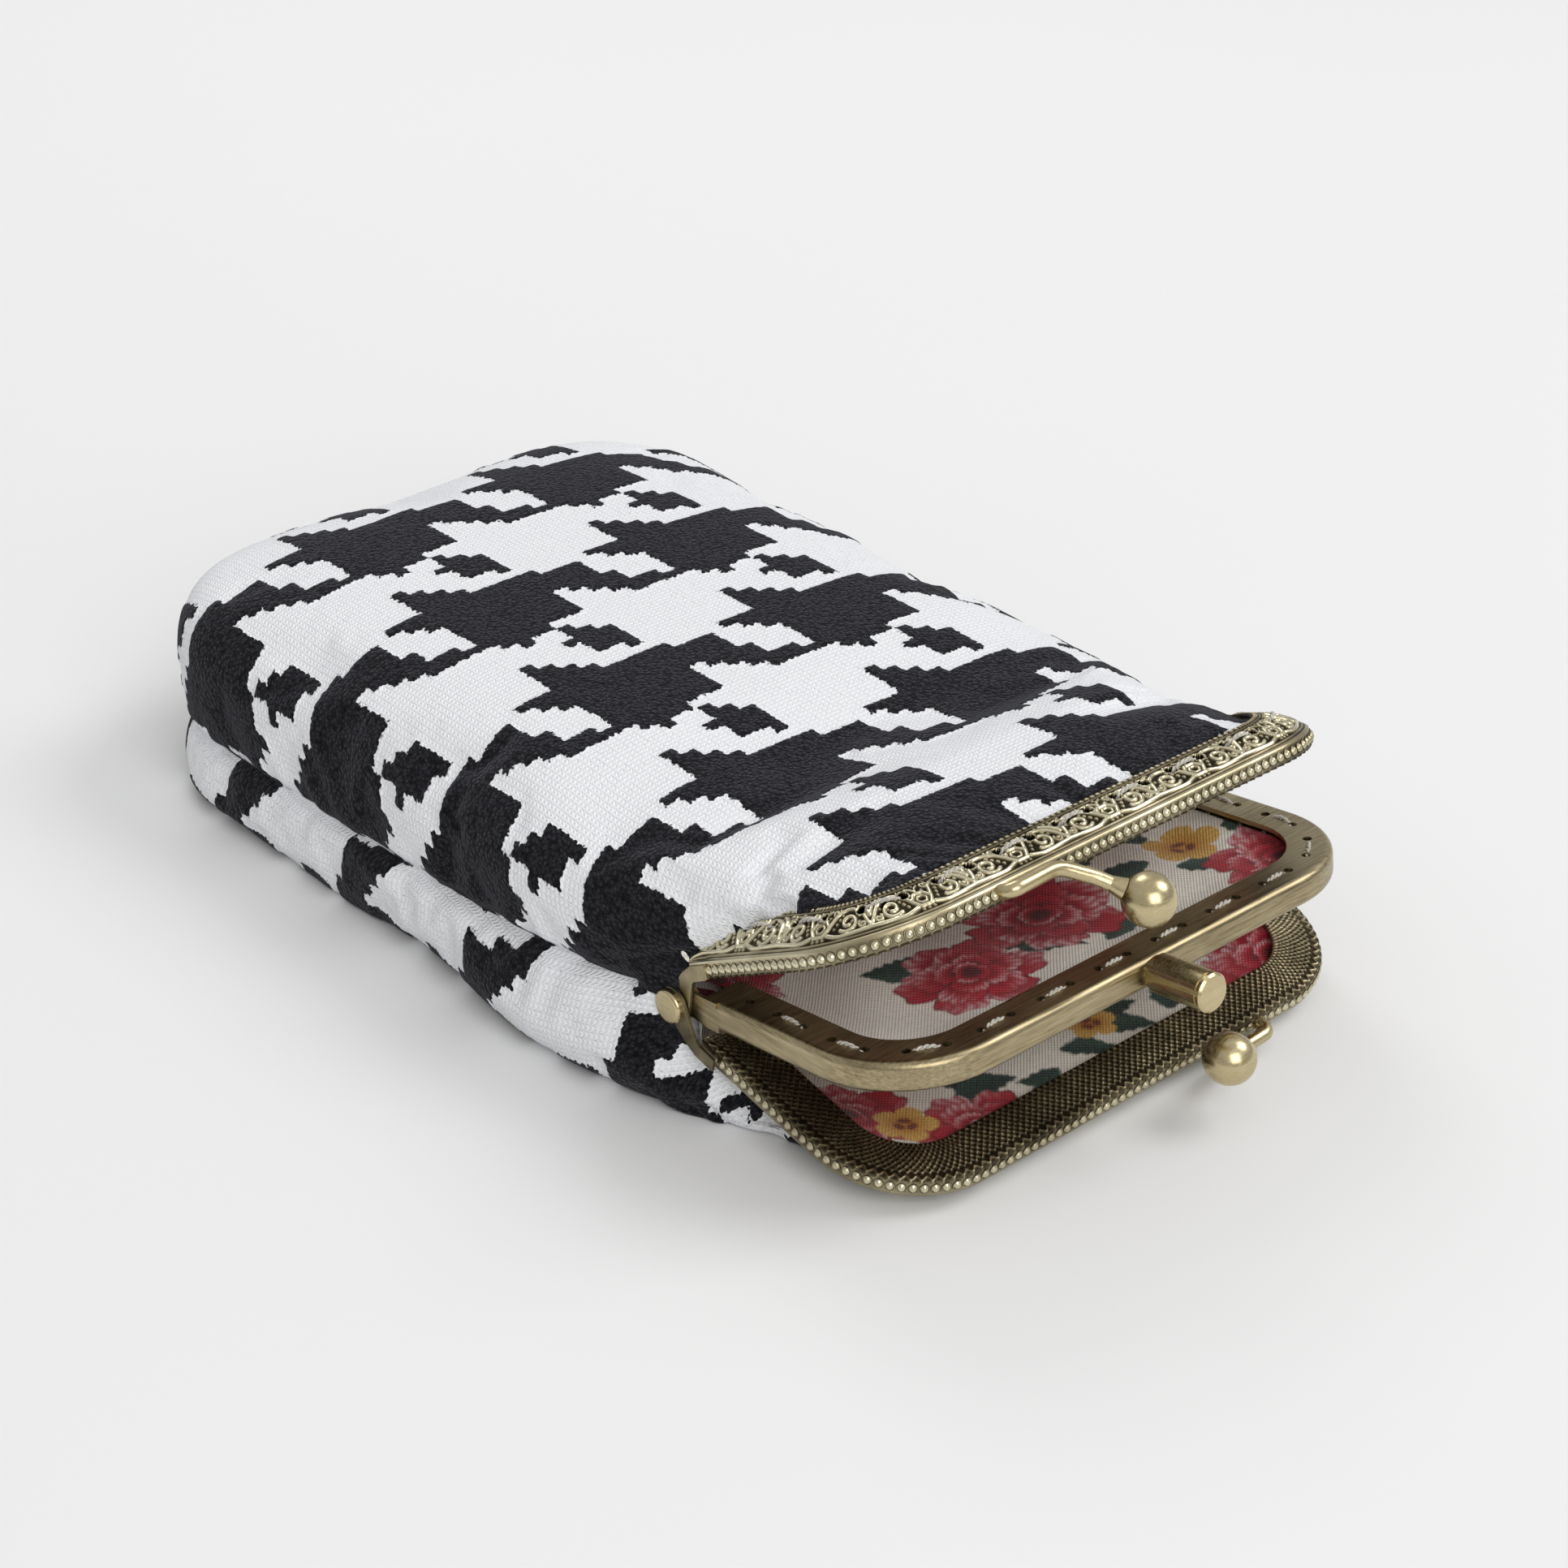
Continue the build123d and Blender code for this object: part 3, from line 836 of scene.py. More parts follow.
def mouth_patch(edge, back, rows):
    """Cloth from a frame's edge back to a section: a Coons patch whose sides run down the legs."""
    cut = RIM_HALF - (HALF_WIDTH - CORNER + CORNER * math.pi / 4)
    index = int(cut / (2 * RIM_HALF) * len(edge))
    front = resampled(edge[index:len(edge) - index], len(back))
    left = resampled(np.concatenate([edge[:index + 1][::-1], back[:1]]), rows)
    right = resampled(np.concatenate([edge[len(edge) - index - 1:], back[-1:]]), rows)
    v = np.linspace(0, 1, rows)[:, None, None]
    u = np.linspace(0, 1, len(back))[None, :, None]
    rails = (1 - u) * left[:, None] + u * right[:, None]
    ends = (1 - v) * front[None] + v * back[None]
    corners = ((1 - u) * (1 - v) * front[0] + u * (1 - v) * front[-1]
               + (1 - u) * v * back[0] + u * v * back[-1])
    return rails + ends - corners


def inward(grid, depth, over):
    """A grid moved in from the outside by a depth for each point."""
    normal = surface_normals(grid)
    middle = normal[len(grid) // 2, grid.shape[1] // 2, 2]
    normal = normal * (-1 if (middle > 0) == over else 1)
    return grid - normal * np.asarray(depth)[..., None]


def body_rows(over, count, columns):
    """Sections of the body behind the hinge, closer together towards the back seam."""
    spread = np.linspace(0, 1, count)[1:]
    return np.array([cross_section(BACK * (1 - (1 - t) ** 1.25), over, columns) for t in spread])


def panel_grid(over):
    """A whole outer panel, from its frame back to the back seam, in coarse rows."""
    mouth = mouth_patch(frame_edge(over), cross_section(0.0, over, COLUMNS), MOUTH_ROWS)
    grid = relaxed(np.concatenate([mouth, body_rows(over, BODY_ROWS, COLUMNS)]), 2)
    fold = MOUTH_ROWS - 1
    for _ in range(40):
        band = grid[fold - 8:fold + 9]
        between = (band[:-2, 1:-1] + band[2:, 1:-1]) / 2
        grid[fold - 7:fold + 8, 1:-1] += 0.5 * (between - band[1:-1, 1:-1])
    v = np.arange(len(grid))[:, None] / fold
    u = np.linspace(-1, 1, COLUMNS)[None, :]
    swell = np.sin(math.pi * np.clip(v, 0, 2) / 2) * np.abs(u) ** 3 * (1 - u ** 8) * MOUTH_SWELL
    grid = inward(grid, -swell, over)
    if over:
        low = np.sin(math.pi * np.clip((np.abs(u) - 0.66) / 0.34, 0, 1))
        wave = np.sin(math.pi * np.clip(v / 2.1, 0, 1) ** 0.8)
        spread = np.where(v < 0.883, 4.4 * wave, (2.4 + 2.0 * wave) * (1 - smoothstep(3.6, 4.7, v)))
        grid[..., 0] += np.sign(u) * low * spread
        grid[..., 2] -= 3.5 * low * np.sin(math.pi * np.clip(v, 0, 1) ** 0.8)
    return grid


def relaxed(grid, steps):
    """A grid smoothed in place, with its four edges held."""
    grid = grid.copy()
    for _ in range(steps):
        inner = (grid[:-2, 1:-1] + grid[2:, 1:-1] + grid[1:-1, :-2] + grid[1:-1, 2:]) / 4
        grid[1:-1, 1:-1] += 0.5 * (inner - grid[1:-1, 1:-1])
    return grid


def refined(grid, rows, columns):
    """A grid resampled finer along both ways by Catmull-Rom curves."""
    def along(values, count):
        t = np.linspace(0, len(values) - 1, count)
        i = np.clip(np.floor(t).astype(int), 0, len(values) - 2)
        f = (t - i)[:, None, None]
        last = len(values) - 1
        p0, p1 = values[np.maximum(i - 1, 0)], values[i]
        p2, p3 = values[i + 1], values[np.minimum(i + 2, last)]
        return 0.5 * (2 * p1 + (p2 - p0) * f + (2 * p0 - 5 * p1 + 4 * p2 - p3) * f ** 2
                      + (3 * p1 - p0 - 3 * p2 + p3) * f ** 3)
    finer = along(grid, rows)
    return along(finer.transpose(1, 0, 2), columns).transpose(1, 0, 2)


# ---------------------------------------------------------------- the knitted motif

MOTIF = 38.4
MOTIF_WIDTH = 44.0
MOTIF_LENGTH = 37.6
STEPS = 16
TWILL = 8
INK_CELL = 0.3
RAISED_BLACK = 0.34


def motif_mask():
    """A stepped houndstooth: dark and light bands crossed in a twill, with small squares."""
    y, x = np.mgrid[0:STEPS, 0:STEPS]
    over = (x + y) % TWILL < TWILL // 2
    mask = np.where(over, x < STEPS // 2, y < STEPS // 2)
    mask[5:7, 10:12] = True
    mask[2:4, 13:15] = False
    mask[13:15, 3:5] = False
    mask[10:12, 5:7] = True
    return mask


def ink_map():
    """Signed distance to the motif's edge over one repeat, positive inside the black."""
    size = int(round(MOTIF / INK_CELL))
    cell = np.arange(size) * STEPS // size
    mask = motif_mask()[cell[:, None], cell[None, :]]
    wide = np.tile(mask, (3, 3))
    edge = np.zeros_like(wide)
    for axis in (0, 1):
        edge |= wide != np.roll(wide, 1, axis)
    ys, xs = np.nonzero(edge[size - 9:2 * size + 9, size - 9:2 * size + 9])
    gap = np.full((size, size), 9.0)
    ys, xs = ys - 9 - 0.5, xs - 9 - 0.5
    cy, cx = np.mgrid[0:size, 0:size]
    for px, py in zip(xs, ys):
        x0, x1 = int(max(0, px - 8)), int(min(size, px + 9))
        y0, y1 = int(max(0, py - 8)), int(min(size, py + 9))
        if x1 > x0 and y1 > y0:
            near = np.hypot(cx[y0:y1, x0:x1] - px, cy[y0:y1, x0:x1] - py)
            gap[y0:y1, x0:x1] = np.minimum(gap[y0:y1, x0:x1], near)
    return np.where(mask, 1, -1) * gap * INK_CELL


INK = ink_map()


def ink_at(cloth):
    """The motif's signed distance at cloth coordinates in millimetres."""
    size = len(INK)
    x = (cloth[..., 0] / MOTIF_WIDTH * size) % size
    y = (cloth[..., 1] / MOTIF_LENGTH * size) % size
    return looked_up(INK, y, x)


def cloth_coordinates(grid, fold):
    """Distances on the cloth itself: across from the middle, along from the fold's row."""
    across, along = lengths(grid, 1), lengths(grid, 0)
    middle = grid.shape[1] // 2
    across = across - across[:, middle:middle + 1]
    along = along - along[fold]
    return np.stack([across, along, 0 * across], -1)


def build_panel(name, grid, cut, rows, columns, offset, split=None):
    """A dense knitted panel, raised where it is black; split at a row into two pieces."""
    fine = refined(grid, rows, columns)
    fold = int((MOUTH_ROWS - 1) * (rows - 1) / (len(grid) - 1))
    cloth = cloth_coordinates(fine, fold) * [1 if split else -1, 1, 1] + np.array([*offset, 0])
    ink = ink_at(cloth)
    normal = surface_normals(fine)
    if normal[rows // 2, columns // 2, 2] * (1 if fine[rows // 2, columns // 2, 2] > 0 else -1) < 0:
        normal = -normal
    level = unit(normal * [1, 1, 0])
    fine = fine - level * seam_drawn_in(fine, fold)
    lumps = (np.sin(cloth[..., 0] * 2.5 + 1.3 * np.sin(cloth[..., 1] * 1.1))
             * np.sin(cloth[..., 1] * 2.7 + 1.1 * np.sin(cloth[..., 0] * 0.9)))
    raised = smoothstep(-0.8, 0.8, ink + 0.15 * lumps)
    fine = fine + RAISED_BLACK * normal * raised[..., None]
    facing = surface_normals(fine)
    facing = facing * np.sign(np.sum(facing * normal, axis=-1, keepdims=True))
    pieces = []
    spans = [(0, rows)] if split is None else [(0, split + 1), (split, rows)]
    for number, (first, last) in enumerate(spans):
        part = fine[first:last]
        suffix = "" if split is None else ("_mouth", "_body")[number]
        faces = grid_faces(*part.shape[:2])
        if normal[rows // 2, columns // 2] @ surface_normals(fine)[rows // 2, columns // 2] < 0:
            faces = faces[:, ::-1]
        made = new_object(name + suffix, placed(part.reshape(-1, 3)), faces, KNIT)
        made.data.normals_split_custom_set_from_vertices(facing[first:last].reshape(-1, 3).tolist())
        refined(cut, rows, columns)[first:last]
        add_value(made, "ink", ink[first:last])
        add_vector(made, "cloth", cloth[first:last])
        pieces.append(made)
    return pieces


def settled(upper, lower):
    """Both panels blown up together by a cloth simulation, as the padding fills them."""
    count = upper.shape[0] * upper.shape[1]
    top = np.arange(count).reshape(upper.shape[:2])
    under = top + count
    under[MOUTH_ROWS - 1:, 0] = top[MOUTH_ROWS - 1:, 0]
    under[MOUTH_ROWS - 1:, -1] = top[MOUTH_ROWS - 1:, -1]
    under[-1] = top[-1]
    faces = []
    for numbers, flip in ((top, False), (under, True)):
        quads = numbers.ravel()[grid_faces(*numbers.shape)]
        faces.append(quads[:, ::-1] if flip else quads)
    start = np.concatenate([upper.reshape(-1, 3), lower.reshape(-1, 3)])
    cloth = new_object("settling_cloth", placed(start), np.concatenate(faces).tolist())
    held = cloth.vertex_groups.new(name="held")
    fixed = set(top[0]) | set(under[0])
    fixed |= set(top[:MOUTH_ROWS, 0]) | set(top[:MOUTH_ROWS, -1])
    fixed |= set(under[:MOUTH_ROWS, 0]) | set(under[:MOUTH_ROWS, -1])
    hinge_rows = slice(MOUTH_ROWS - 2, MOUTH_ROWS + 2)
    for numbers in (top, under):
        fixed |= set(numbers[hinge_rows, :3].ravel()) | set(numbers[hinge_rows, -3:].ravel())
    held.add([int(number) for number in fixed], 1.0, "REPLACE")
    seams = set(top[MOUTH_ROWS + 2:, 0]) | set(top[MOUTH_ROWS + 2:, -1]) | set(top[-1])
    held.add([int(number) for number in seams], 0.85, "REPLACE")
    settings = cloth.modifiers.new("cloth", "CLOTH").settings
    settings.quality = 5
    settings.mass = 0.2
    settings.tension_stiffness = settings.compression_stiffness = 12
    settings.shear_stiffness = 6
    settings.bending_stiffness = 1.2
    settings.vertex_group_mass = "held"
    settings.use_pressure = True
    settings.uniform_pressure_force = 3.0
    settings.shrink_min = -0.012
    settings.effector_weights.gravity = 0
    cloth.modifiers["cloth"].collision_settings.use_collision = False
    scene = bpy.context.scene
    for number in range(1, SETTLING_FRAMES + 1):
        scene.frame_set(number)
    shaped = cloth.evaluated_get(bpy.context.evaluated_depsgraph_get()).to_mesh()
    moved = np.empty(len(shaped.vertices) * 3)
    shaped.vertices.foreach_get("co", moved)
    moved = (moved.reshape(-1, 3) - HINGE) / MM
    scene.frame_set(1)
    bpy.data.objects.remove(cloth)
    shift = moved - start
    length = np.linalg.norm(shift, axis=1, keepdims=True)
    moved = start + shift * PUFF * np.tanh(length / PUFF) / np.maximum(length, 1e-6)
    return moved[top], moved[under]


def seam_drawn_in(grid, rows_from):
    """A fine panel pulled in along its side and back seams."""
    from_left, along = lengths(grid, 1), lengths(grid, 0)
    side = np.minimum(from_left, from_left[:, -1:] - from_left)
    back = along[-1:] - along
    fade = smoothstep(rows_from - 12, rows_from + 12, np.arange(len(grid)))[:, None]
    near = np.minimum(side + 40 * (1 - fade), back)
    return (SEAM_DEPTH * np.exp(-(near / 1.7) ** 2) + 0.7 * np.exp(-(near / 6.0) ** 2))[..., None]


def build_outer_panels():
    upper_cut, lower_cut = panel_grid(False), panel_grid(True)
    upper, lower = settled(upper_cut, lower_cut)
    lower[..., 2] = np.maximum(lower[..., 2], FLOOR + 0.45)
    mouth, body = build_panel("upper_outer_panel", upper, upper_cut, 396, 318, (31.8, 46.5), 82)
    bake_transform(mouth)
    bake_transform(body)
    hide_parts("upper_panel_mouth")
    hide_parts("upper_outer_panel")
    under, = build_panel("lower_outer_panel_body", lower, lower_cut, 330, 260, (3.0, 48.5))
    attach(under, "root")
    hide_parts("lower_outer_panel")
    return upper, lower


UPPER_PANEL, LOWER_PANEL = build_outer_panels()


def build_padding():
    """Fleece between the knit and the lining, thinning into the frames and seams."""
    for name, grid, over in (("upper", UPPER_PANEL, False), ("lower", LOWER_PANEL, True)):
        rows, columns = grid.shape[:2]
        from_front = np.arange(rows)[:, None]
        from_side = np.minimum(np.arange(columns), np.arange(columns)[::-1])[None, :]
        from_back = from_front[::-1]
        thin = (smoothstep(0, 5, from_front) * smoothstep(0, 4, from_side)
                * smoothstep(0, 4, from_back))
        thin = thin * (0.35 + 0.65 * smoothstep(MOUTH_ROWS - 2, MOUTH_ROWS + 10, from_front))
        behind = smoothstep(MOUTH_ROWS - 3, MOUTH_ROWS + 1, from_front)
        tucked = 2.6 * behind * (1 - smoothstep(0, 3, from_side) * smoothstep(0, 3, from_back))
        at_sides = 1.6 * smoothstep(0, 3, from_front) * (1 - smoothstep(0, 4, from_side))
        tucked = np.maximum(tucked, at_sides)
        outside = inward(grid, 0.9 + 0.3 * thin + tucked, over)
        inside = inward(grid, 1.2 + (0.6 if over else 2.0) * thin + tucked, over)
        outside[..., 2] = np.maximum(outside[..., 2], FLOOR + 1.0)
        inside[..., 2] = np.maximum(inside[..., 2], FLOOR + 1.4)
        spans = ((0, MOUTH_ROWS), (MOUTH_ROWS - 1, rows)) if not over else ((0, rows),)
        for number, (first, last) in enumerate(spans):
            a, b = outside[first:last], inside[first:last]
            quads = grid_faces(*a.shape[:2])
            points = np.concatenate([a.reshape(-1, 3), b.reshape(-1, 3)])
            faces = quads.tolist() + (quads[:, ::-1] + a.shape[0] * a.shape[1]).tolist()
            suffix = "_body" if over or number else "_mouth"
            made = new_object(f"{name}_fleece{suffix}", placed(points), faces, FLEECE)
            if over:
                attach(made, "root")
                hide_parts("lower_padding")
            elif number:
                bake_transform(made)
                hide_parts("upper_padding")
            else:
                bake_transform(made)
                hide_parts("upper_padding_mouth")


build_padding()


# ---------------------------------------------------------------- printed linings

CREAM = np.array([0.97, 0.92, 0.83])
ROSES = ((-17, -27, 12.0, 0.4), (5, -20, 14.0, 2.1), (42, -38, 12.5, 4.0), (-45, 0, 11.0, 1.2),
         (-24, 8, 10.0, 5.1), (20, 6, 9.0, 3.3))
LEAVES = ((-10, -19, 14.0, -0.9), (-17, -17, 12.0, 2.9), (-7, -27, 11.0, -0.7),
          (28, -22, 11.0, 2.6), (30, -26, 11.0, -0.9), (12, -28, 10.0, 3.9),
          (46, -29, 9.0, 1.1), (-35, 4, 12.0, 0.4),
          (8, -8, 12.0, 1.5), (-12, 0, 12.0, 2.6), (33, 2, 12.0, 0.2), (34, -16, 9.0, 1.2),
          (20, -14, 9.0, 0.5))
YELLOWS = ((37, -21, 6.6, 0.3), (-6, 12, 6.0, 1.0))
UNDER_ROSES = ((-42, -27, 11.5, 0.9), (-28, -42, 11.0, 2.6), (41, -39, 14.0, 0.2),
               (12, -14, 12.0, 1.5), (-10, -10, 11.0, 3.0))
UNDER_LEAVES = ((-26, -34, 12.0, -0.1), (-24, -30, 11.0, 0.5), (-4, -34, 9.0, -0.9),
                (0, -36, 7.0, -1.7), (5, -35, 9.0, -0.6), (8, -33, 7.5, 0.1),
                (17, -38, 9.0, 0.5), (-15, -44, 8.0, 0.7),
                (30, -30, 11.0, 2.3), (-28, -16, 12.0, 1.1), (-8, -38, 8.0, 2.9))
UNDER_YELLOWS = ((-36, -33, 5.2, 0.6), (5, -32, 4.6, 0.1))
ROSE_RINGS = ((1.0, 6, 0.0), (0.74, 5, 0.9), (0.48, 4, 2.0), (0.26, 3, 0.3))
PRINT_STEP = 62.0
PRINT_WIDTH = 103


def mixed(base, colour, amount):
    """Colours moved towards another one by an amount at each point."""
    return base * (1 - amount[..., None]) + np.asarray(colour) * amount[..., None]


def painted_leaf(colour, x, y, length, turn):
    """A pointed dark leaf with brushed veins, drawn from its stalk end."""
    c, s = math.cos(turn), math.sin(turn)
    along, across = x * c + y * s, -x * s + y * c
    t = along / length
    bend = across - 0.18 * length * np.sin(math.pi * np.clip(t, 0, 1))
    ragged = 1 + 0.10 * np.sin(along * 3.1)
    half = 0.30 * length * np.sin(math.pi * np.clip(t, 0, 1) ** 0.8) * ragged
    inside = smoothstep(0.25, -0.25, np.abs(bend) - half) * (t > 0) * (t < 1)
    vein = 0.5 + 0.5 * np.sin((along - np.abs(bend) * 1.2) * 4.5)
    shade = 0.55 * vein + 0.45 * smoothstep(-0.5, 0.5, bend / np.maximum(half, 0.1))
    green = mixed(np.array([0.008, 0.022, 0.018]) + 0 * colour, (0.045, 0.10, 0.072), shade)
    return mixed(colour, green, inside)


def painted_rose(colour, x, y, radius, turn):
    """A full rose of overlapping petals, dark between them and pale at their lips."""
    distance, angle = np.hypot(x, y), np.arctan2(y, x) + turn
    for ring, (reach, petals, offset) in enumerate(ROSE_RINGS):
        wave = np.abs(np.cos((angle + offset) * petals / 2))
        lip = radius * reach * (0.70 + 0.30 * wave ** 0.6) * (1 + 0.04 * np.sin(angle * 17 + ring))
        inside = smoothstep(0.2, -0.2, distance - lip)
        depth = np.clip(distance / lip, 0, 1)
        strokes = 0.5 + 0.5 * np.sin(angle * 34 + ring * 2 + 1.5 * np.sin(distance * 1.7))
        side = 0.5 + 0.5 * np.sin(angle * petals / 2 + ring * 1.7 + turn)
        pale = 0.9 * smoothstep(0.68, 0.96, depth) * (0.2 + 0.8 * strokes) * side ** 1.5
        red = mixed(np.array([0.10, 0.002, 0.007]) + 0 * colour, (0.50, 0.012, 0.030),
                    smoothstep(0.35, 0.85, depth))
        red = mixed(red, (0.86, 0.62, 0.64), np.clip(pale, 0, 1))
        crease = 0.8 * smoothstep(0.93, 0.99, depth) * (1 - side) + 0.5 * (wave < 0.13)
        red = mixed(red, (0.10, 0.002, 0.008), crease)
        colour = mixed(colour, red, inside)
    return colour


def painted_yellow(colour, x, y, radius, turn):
    """A five-petalled yellow flower with a dark heart."""
    distance, angle = np.hypot(x, y), np.arctan2(y, x) + turn
    wave = np.abs(np.cos(angle * 2.5))
    lip = radius * (0.62 + 0.38 * wave ** 0.5)
    inside = smoothstep(0.2, -0.2, distance - lip)
    strokes = 0.5 + 0.5 * np.sin(angle * 26 + np.sin(distance * 2))
    gold = mixed(np.array([0.62, 0.27, 0.035]) + 0 * colour, (0.88, 0.58, 0.16),
                 smoothstep(0.2, 0.9, distance / radius) * (0.4 + 0.6 * strokes))
    from_heart = np.hypot(distance - radius * 0.22, 0.5 * np.sin(angle * 3) + 0.3)
    heart = smoothstep(0.2, -0.2, from_heart - 0.75)
    gold = mixed(gold, (0.16, 0.015, 0.01), heart * 0.85)
    return mixed(colour, gold, inside)


def print_colour(x, y, roses, leaves, yellows):
    """The flower print at cloth coordinates, repeated away from the mouth."""
    colour = np.broadcast_to(CREAM, x.shape + (3,)).copy()
    for painter, places in ((painted_leaf, leaves), (painted_rose, roses),
                            (painted_yellow, yellows)):
        for px, py, size, turn in places:
            for step_x in (-2, -1, 0, 1, 2):
                for step_y in (0, 1, 2, 3):
                    dx, dy = x - px - step_x * PRINT_WIDTH, y - py - step_y * PRINT_STEP
                    near = np.hypot(dx, dy) < size * 1.25
                    if near.any():
                        colour[near] = painter(colour[near], dx[near], dy[near], size, turn)
    return colour


def print_cloth(name, grid, places):
    """A woven printed cloth from a fine grid."""
    made = new_object(name, placed(grid.reshape(-1, 3)), grid_faces(*grid.shape[:2]), WEAVE)
    x, y = grid[..., 0], grid[..., 1]
    add_colour(made, "print", print_colour(x, y, *places).reshape(-1, 3))
    add_vector(made, "cloth", np.stack([x, y, 0 * x], -1))
    return made


def divider_grid(off):
    """The divider sewn into the middle frame, sagging back between the pockets."""
    distance = np.linspace(-RIM_HALF, RIM_HALF, EDGE_POINTS)
    line, _ = rim_line(distance, 6.6, MIDDLE_REACH)
    edge = tilted(np.concatenate([line, np.full((EDGE_POINTS, 1), off)], -1), MIDDLE_TILT)
    across = np.linspace(-1, 1, 90)

    def section(y):
        width = (body_half_width(min(y, BACK - 5)) - 4.0 - 3.0 * math.exp(-y / 8)) * across
        sag = (off * math.exp(-y / 10) + seam_height(y) * smoothstep(0, 20, y)
               - np.cos(across * math.pi / 2))
        return np.stack([width, np.full_like(across, y), sag + 0 * across], -1)

    mouth = refined(mouth_patch(edge, section(0.0), 30), 125, 240)
    back = refined(np.array([section(y) for y in np.linspace(0, BACK - 5, 30)]), 180, 240)[1:]
    grid = np.concatenate([mouth, back])
    x, y = grid[..., 0], grid[..., 1]
    inside = smoothstep(0, 9, y + 43) * smoothstep(0, 9, 46 - np.abs(x)) * smoothstep(30, 0, y)
    ripple = 0.55 * np.sin(x * 0.16 + y * 0.11) + 0.35 * np.sin(x * 0.31 - y * 0.23 + 1.0)
    grid[..., 2] += inside * (ripple - 1.6)
    return grid


LINING_MOUTH_ROWS = 115


def lining_grid(over):
    """A pocket's lining, from its frame's flat flange back along the padding."""
    edge = frame_edge(over, 7.6, 4.35)

    def shrunk(section):
        section = section.copy()
        seam = seam_height(section[:, 1])
        section[:, 0] *= 0.93
        section[:, 2] = seam + (section[:, 2] - seam) * 0.69
        section[:, 1] = np.minimum(section[:, 1], BACK - 4)
        return section

    back = shrunk(cross_section(0.0, over, 90))
    mouth = refined(mouth_patch(edge, back, 30), LINING_MOUTH_ROWS, 220)
    body = refined(np.array([shrunk(row) for row in body_rows(over, 34, 90)]), 150, 220)
    return np.concatenate([mouth, body])


def build_linings():
    upper_places = (ROSES, LEAVES, YELLOWS)
    under_places = (UNDER_ROSES, UNDER_LEAVES, UNDER_YELLOWS)
    for name, off, places, nodes in (
        ("upper_divider", 0.7, upper_places, ("upper_pocket_divider", "upper_divider_mouth")),
        ("lower_divider", -0.7, under_places, ("lower_pocket_divider", "lower_divider_mouth")),
    ):
        made = print_cloth(name, divider_grid(off), places)
        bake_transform(made)
        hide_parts(*nodes)
    upper = lining_grid(False)
    split = LINING_MOUTH_ROWS
    mouth = print_cloth("upper_lining_front", upper[:split], under_places)
    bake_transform(mouth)
    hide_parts("upper_lining_mouth")
    body = print_cloth("upper_lining_body", upper[split - 1:], under_places)
    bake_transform(body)
    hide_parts("upper_pocket_lining")
    lower = print_cloth("lower_lining", lining_grid(True), under_places)
    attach(lower, "root")
    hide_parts("lower_pocket_lining")


build_linings()


# ---------------------------------------------------------------- threads and tabs

TAB_START = 51.8
TAB_PITCH = 0.8
TAB_SHEET = 0.7


def side_and_up(line):
    """Unit vectors to the side of a polyline and above it."""
    heading = unit(np.gradient(line, axis=0))
    side = unit(np.cross(heading, [0.0, 0.0, 1.0]))
    return side, np.cross(side, heading)


def ply_tube(centre, radius, sides=7):
    """A round tube along a polyline."""
    side, up = side_and_up(centre)
    angle = np.linspace(0, 2 * math.pi, sides, endpoint=False)
    c, s = np.cos(angle)[None, :, None], np.sin(angle)[None, :, None]
    points = centre[:, None] + (c * side[:, None] + s * up[:, None]) * radius
    return points.reshape(-1, 3), grid_faces(len(centre), sides, close_columns=True)


def stitch(distances, lifted):
    """One two-ply stitch from hole to hole; lifted turns (distance, height) into flat points."""
    first, last = distances
    first, last = first + 0.42, last - 0.42
    t = np.linspace(0, 1, 40)
    height = -1.5 + 1.85 * np.clip(np.sin(math.pi * t), 0, 1) ** 0.30 + 0.12 * np.sin(math.pi * t)
    spine = lifted(first + (last - first) * t, height)
    side, up = side_and_up(spine)
    run = lengths(spine, 0)
    sway = rng.uniform(-0.25, 0.25)
    spine = spine + side * (sway * np.sin(math.pi * np.clip(t, 0, 1)))[:, None]
    phase = rng.uniform(0, 2 * math.pi)
    made = []
    for ply in (0, math.pi):
        turn = run * 2 * math.pi / 2.0 + phase + ply
        centre = spine + 0.19 * (np.cos(turn)[:, None] * side + np.sin(turn)[:, None] * up)
        made.append(ply_tube(centre, 0.215))
    return made


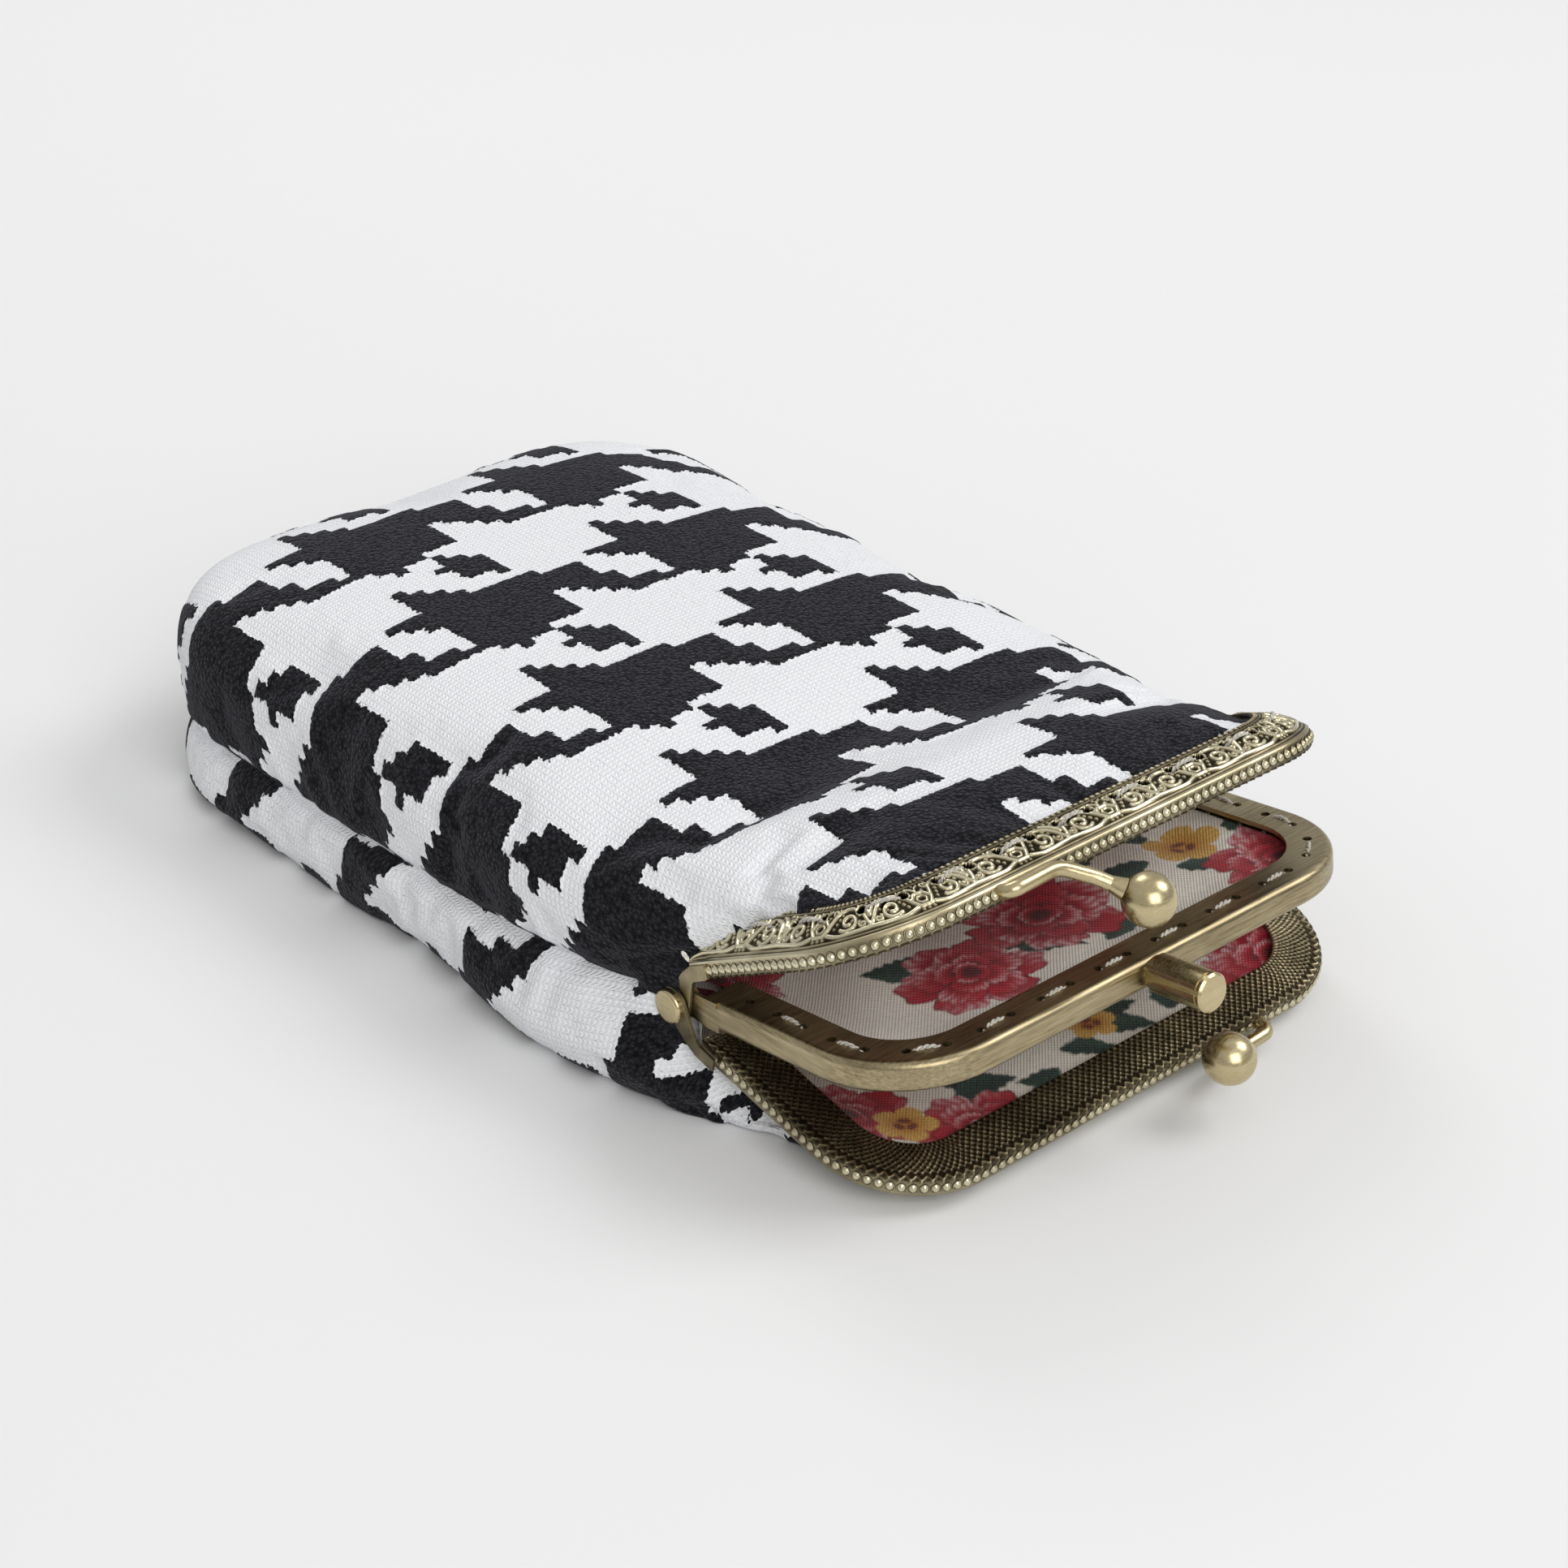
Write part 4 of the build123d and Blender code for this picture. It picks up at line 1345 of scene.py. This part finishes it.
def build_stitches():
    """Running stitches in and out of the sewing holes of the three frames."""
    rise = (CREST - RIM) / FLANGE
    slope = math.hypot(1, rise)

    def on_slope(distance, height):
        bulge = 0.62
        height = height + bulge
        inset = OUTER_HOLE_INSET - height * rise / slope
        line, _ = rim_line(distance, inset)
        return np.concatenate([line, (RIM + OUTER_HOLE_INSET * rise + height / slope)[:, None]], -1)

    def on_flange(level):
        def lifted(distance, height):
            line, _ = rim_line(distance, np.full_like(distance, MIDDLE_HOLE_INSET), MIDDLE_REACH)
            return np.concatenate([line, (level * (2.2 + height))[:, None]], -1)
        return lifted

    outer = hole_line(OUTER_HOLES, OUTER_HOLE_INSET, REACH)
    middle = hole_line(MIDDLE_HOLES, MIDDLE_HOLE_INSET, MIDDLE_REACH)
    outer_runs = [(outer[0::2], outer[1::2], on_slope)]
    middle_runs = [(middle[1:-1:2], middle[2::2], on_flange(1)),
                   (middle[0::2], middle[1::2], on_flange(-1))]
    rows = (
        ("upper_frame_stitches", "upper_leaf", UPPER_TILT, False, outer_runs),
        ("lower_frame_stitches", "root", LOWER_TILT, True, outer_runs),
        ("middle_frame_stitches", "middle_leaf", MIDDLE_TILT, False, middle_runs),
    )
    for name, body, tilt, over, runs in rows:
        points, faces, count = [], [], 0
        for starts, ends, lifted in runs:
            for pair in zip(starts, ends):
                for tube, quads in stitch(pair, lifted):
                    points.append(tube)
                    faces.append(quads + count)
                    count += len(tube)
        flat = np.concatenate(points)
        made = new_object(name + "_thread", at_rest(flat, tilt, over),
                          np.concatenate(faces).tolist(), THREAD)
        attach(made, body)
        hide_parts(name)


build_stitches()


def build_tabs():
    """Tabs that carry the outer frames' legs on the hinge rivets."""
    turn = np.linspace(math.atan2(2.85, 0.8), math.atan2(-1.75, -2.4), 28)
    disc = np.stack([3.0 * np.cos(turn), 3.0 * np.sin(turn)], -1)
    leg = np.array([(-4.4, 0.9), (-5.9, 2.7), (-7.0, SEAT - 0.1), (-10.5, SEAT), (-10.5, RIM),
                    (-6.6, RIM), (-4.4, 4.9), (-1.6, 3.35)])
    outline = np.concatenate([disc, leg])
    centre = outline.mean(axis=0)
    for name, place, body, tilt, over in (
        ("upper_tabs", 1, "upper_leaf", UPPER_TILT, False),
        ("lower_tabs", 2, "root", LOWER_TILT, True),
    ):
        inner = TAB_START + place * TAB_PITCH
        layers = ((inner, 0.94), (inner + 0.12, 1.0),
                  (inner + TAB_SHEET - 0.12, 1.0), (inner + TAB_SHEET, 0.94))
        points, faces, count = [], [], 0
        for side in (-1, 1):
            for x, scale in layers:
                ring = centre + (outline - centre) * scale
                points.append(np.concatenate([np.full((len(ring), 1), side * x), ring], -1))
            quads = grid_faces(len(layers), len(outline), close_columns=True) + count
            faces += quads.tolist()
            faces.append([count + number for number in range(len(outline))][::-1])
            last = count + (len(layers) - 1) * len(outline)
            faces.append([last + number for number in range(len(outline))])
            count += len(layers) * len(outline)
        flat = np.concatenate(points)
        made = new_object(name, at_rest(flat, tilt, over), faces, RELIEF, smooth=False)
        add_value(made, "relief", np.full(count, 0.44))
        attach(made, body)


build_tabs()


# ---------------------------------------------------------------- floor, light, camera

FLOOR_HALF = 6.0


def build_stage():
    """A pale, even floor."""
    made, tree, shader = material("studio_floor")
    where = object_space(tree)
    faint = node(tree, "ShaderNodeTexNoise", {"Vector": where, "Scale": 3.0}).outputs[0]
    tree.links.new(ramp(tree, faint, (0.3, (0.815, 0.815, 0.815)), (0.7, (0.825, 0.825, 0.825))),
                   shader.inputs["Base Color"])
    set_inputs(shader, {"Roughness": 0.9, "Specular IOR Level": 0.1})
    corners = [(-FLOOR_HALF, -FLOOR_HALF, 0), (FLOOR_HALF, -FLOOR_HALF, 0),
               (FLOOR_HALF, FLOOR_HALF, 0), (-FLOOR_HALF, FLOOR_HALF, 0)]
    floor = new_object("studio_floor", corners, [(0, 1, 2, 3)], made, smooth=False)


def area_light(name, spot, target, size, power):
    lamp = bpy.data.lights.new(name, "AREA")
    lamp.shape = "SQUARE"
    lamp.size = size
    lamp.energy = power
    made = bpy.data.objects.new(name, lamp)
    made.location = spot
    made.rotation_euler = (Vector(target) - Vector(spot)).to_track_quat("-Z", "Y").to_euler()
    bpy.context.scene.collection.objects.link(made)


def build_light():
    """A pale studio: bright overhead, dimmer towards the horizon, with a soft key on the right."""
    world = bpy.data.worlds.new("studio")
    bpy.context.scene.world = world
    world.use_nodes = True
    tree = world.node_tree
    where = node(tree, "ShaderNodeTexCoord").outputs["Generated"]
    up = node(tree, "ShaderNodeSeparateXYZ", {0: where}).outputs[2]
    sky = tree.nodes["Background"]
    tree.links.new(mapped(tree, up, 0.0, 1.0, 0.40, 0.62), sky.inputs["Strength"])
    sky.inputs["Color"].default_value = (1, 1, 1, 1)
    area_light("key", (1.40, -0.80, 1.70), (0, 0, 0), 1.1, 17.0)
    area_light("rim", (0.30, 0.80, 0.80), (0, 0, 0), 0.45, 2.0)
    area_light("front", (-0.60, -1.70, 1.20), (0, 0, 0), 1.4, 19.0)


def build_camera():
    """The studio camera: in front of the mouth on its left, looking down on the pouch."""
    data = bpy.data.cameras.new("camera")
    data.sensor_width = 36.0
    data.lens = 69.66
    made = bpy.data.objects.new("camera", data)
    made.location = placed([-293.42, -301.03, 258.82])
    made.rotation_euler = Euler((math.radians(90 - 29.8), 0, math.radians(-41.03)))
    bpy.context.scene.collection.objects.link(made)
    bpy.context.scene.camera = made


build_stage()
build_light()
build_camera()
bpy.context.scene.view_settings.view_transform = "Standard"
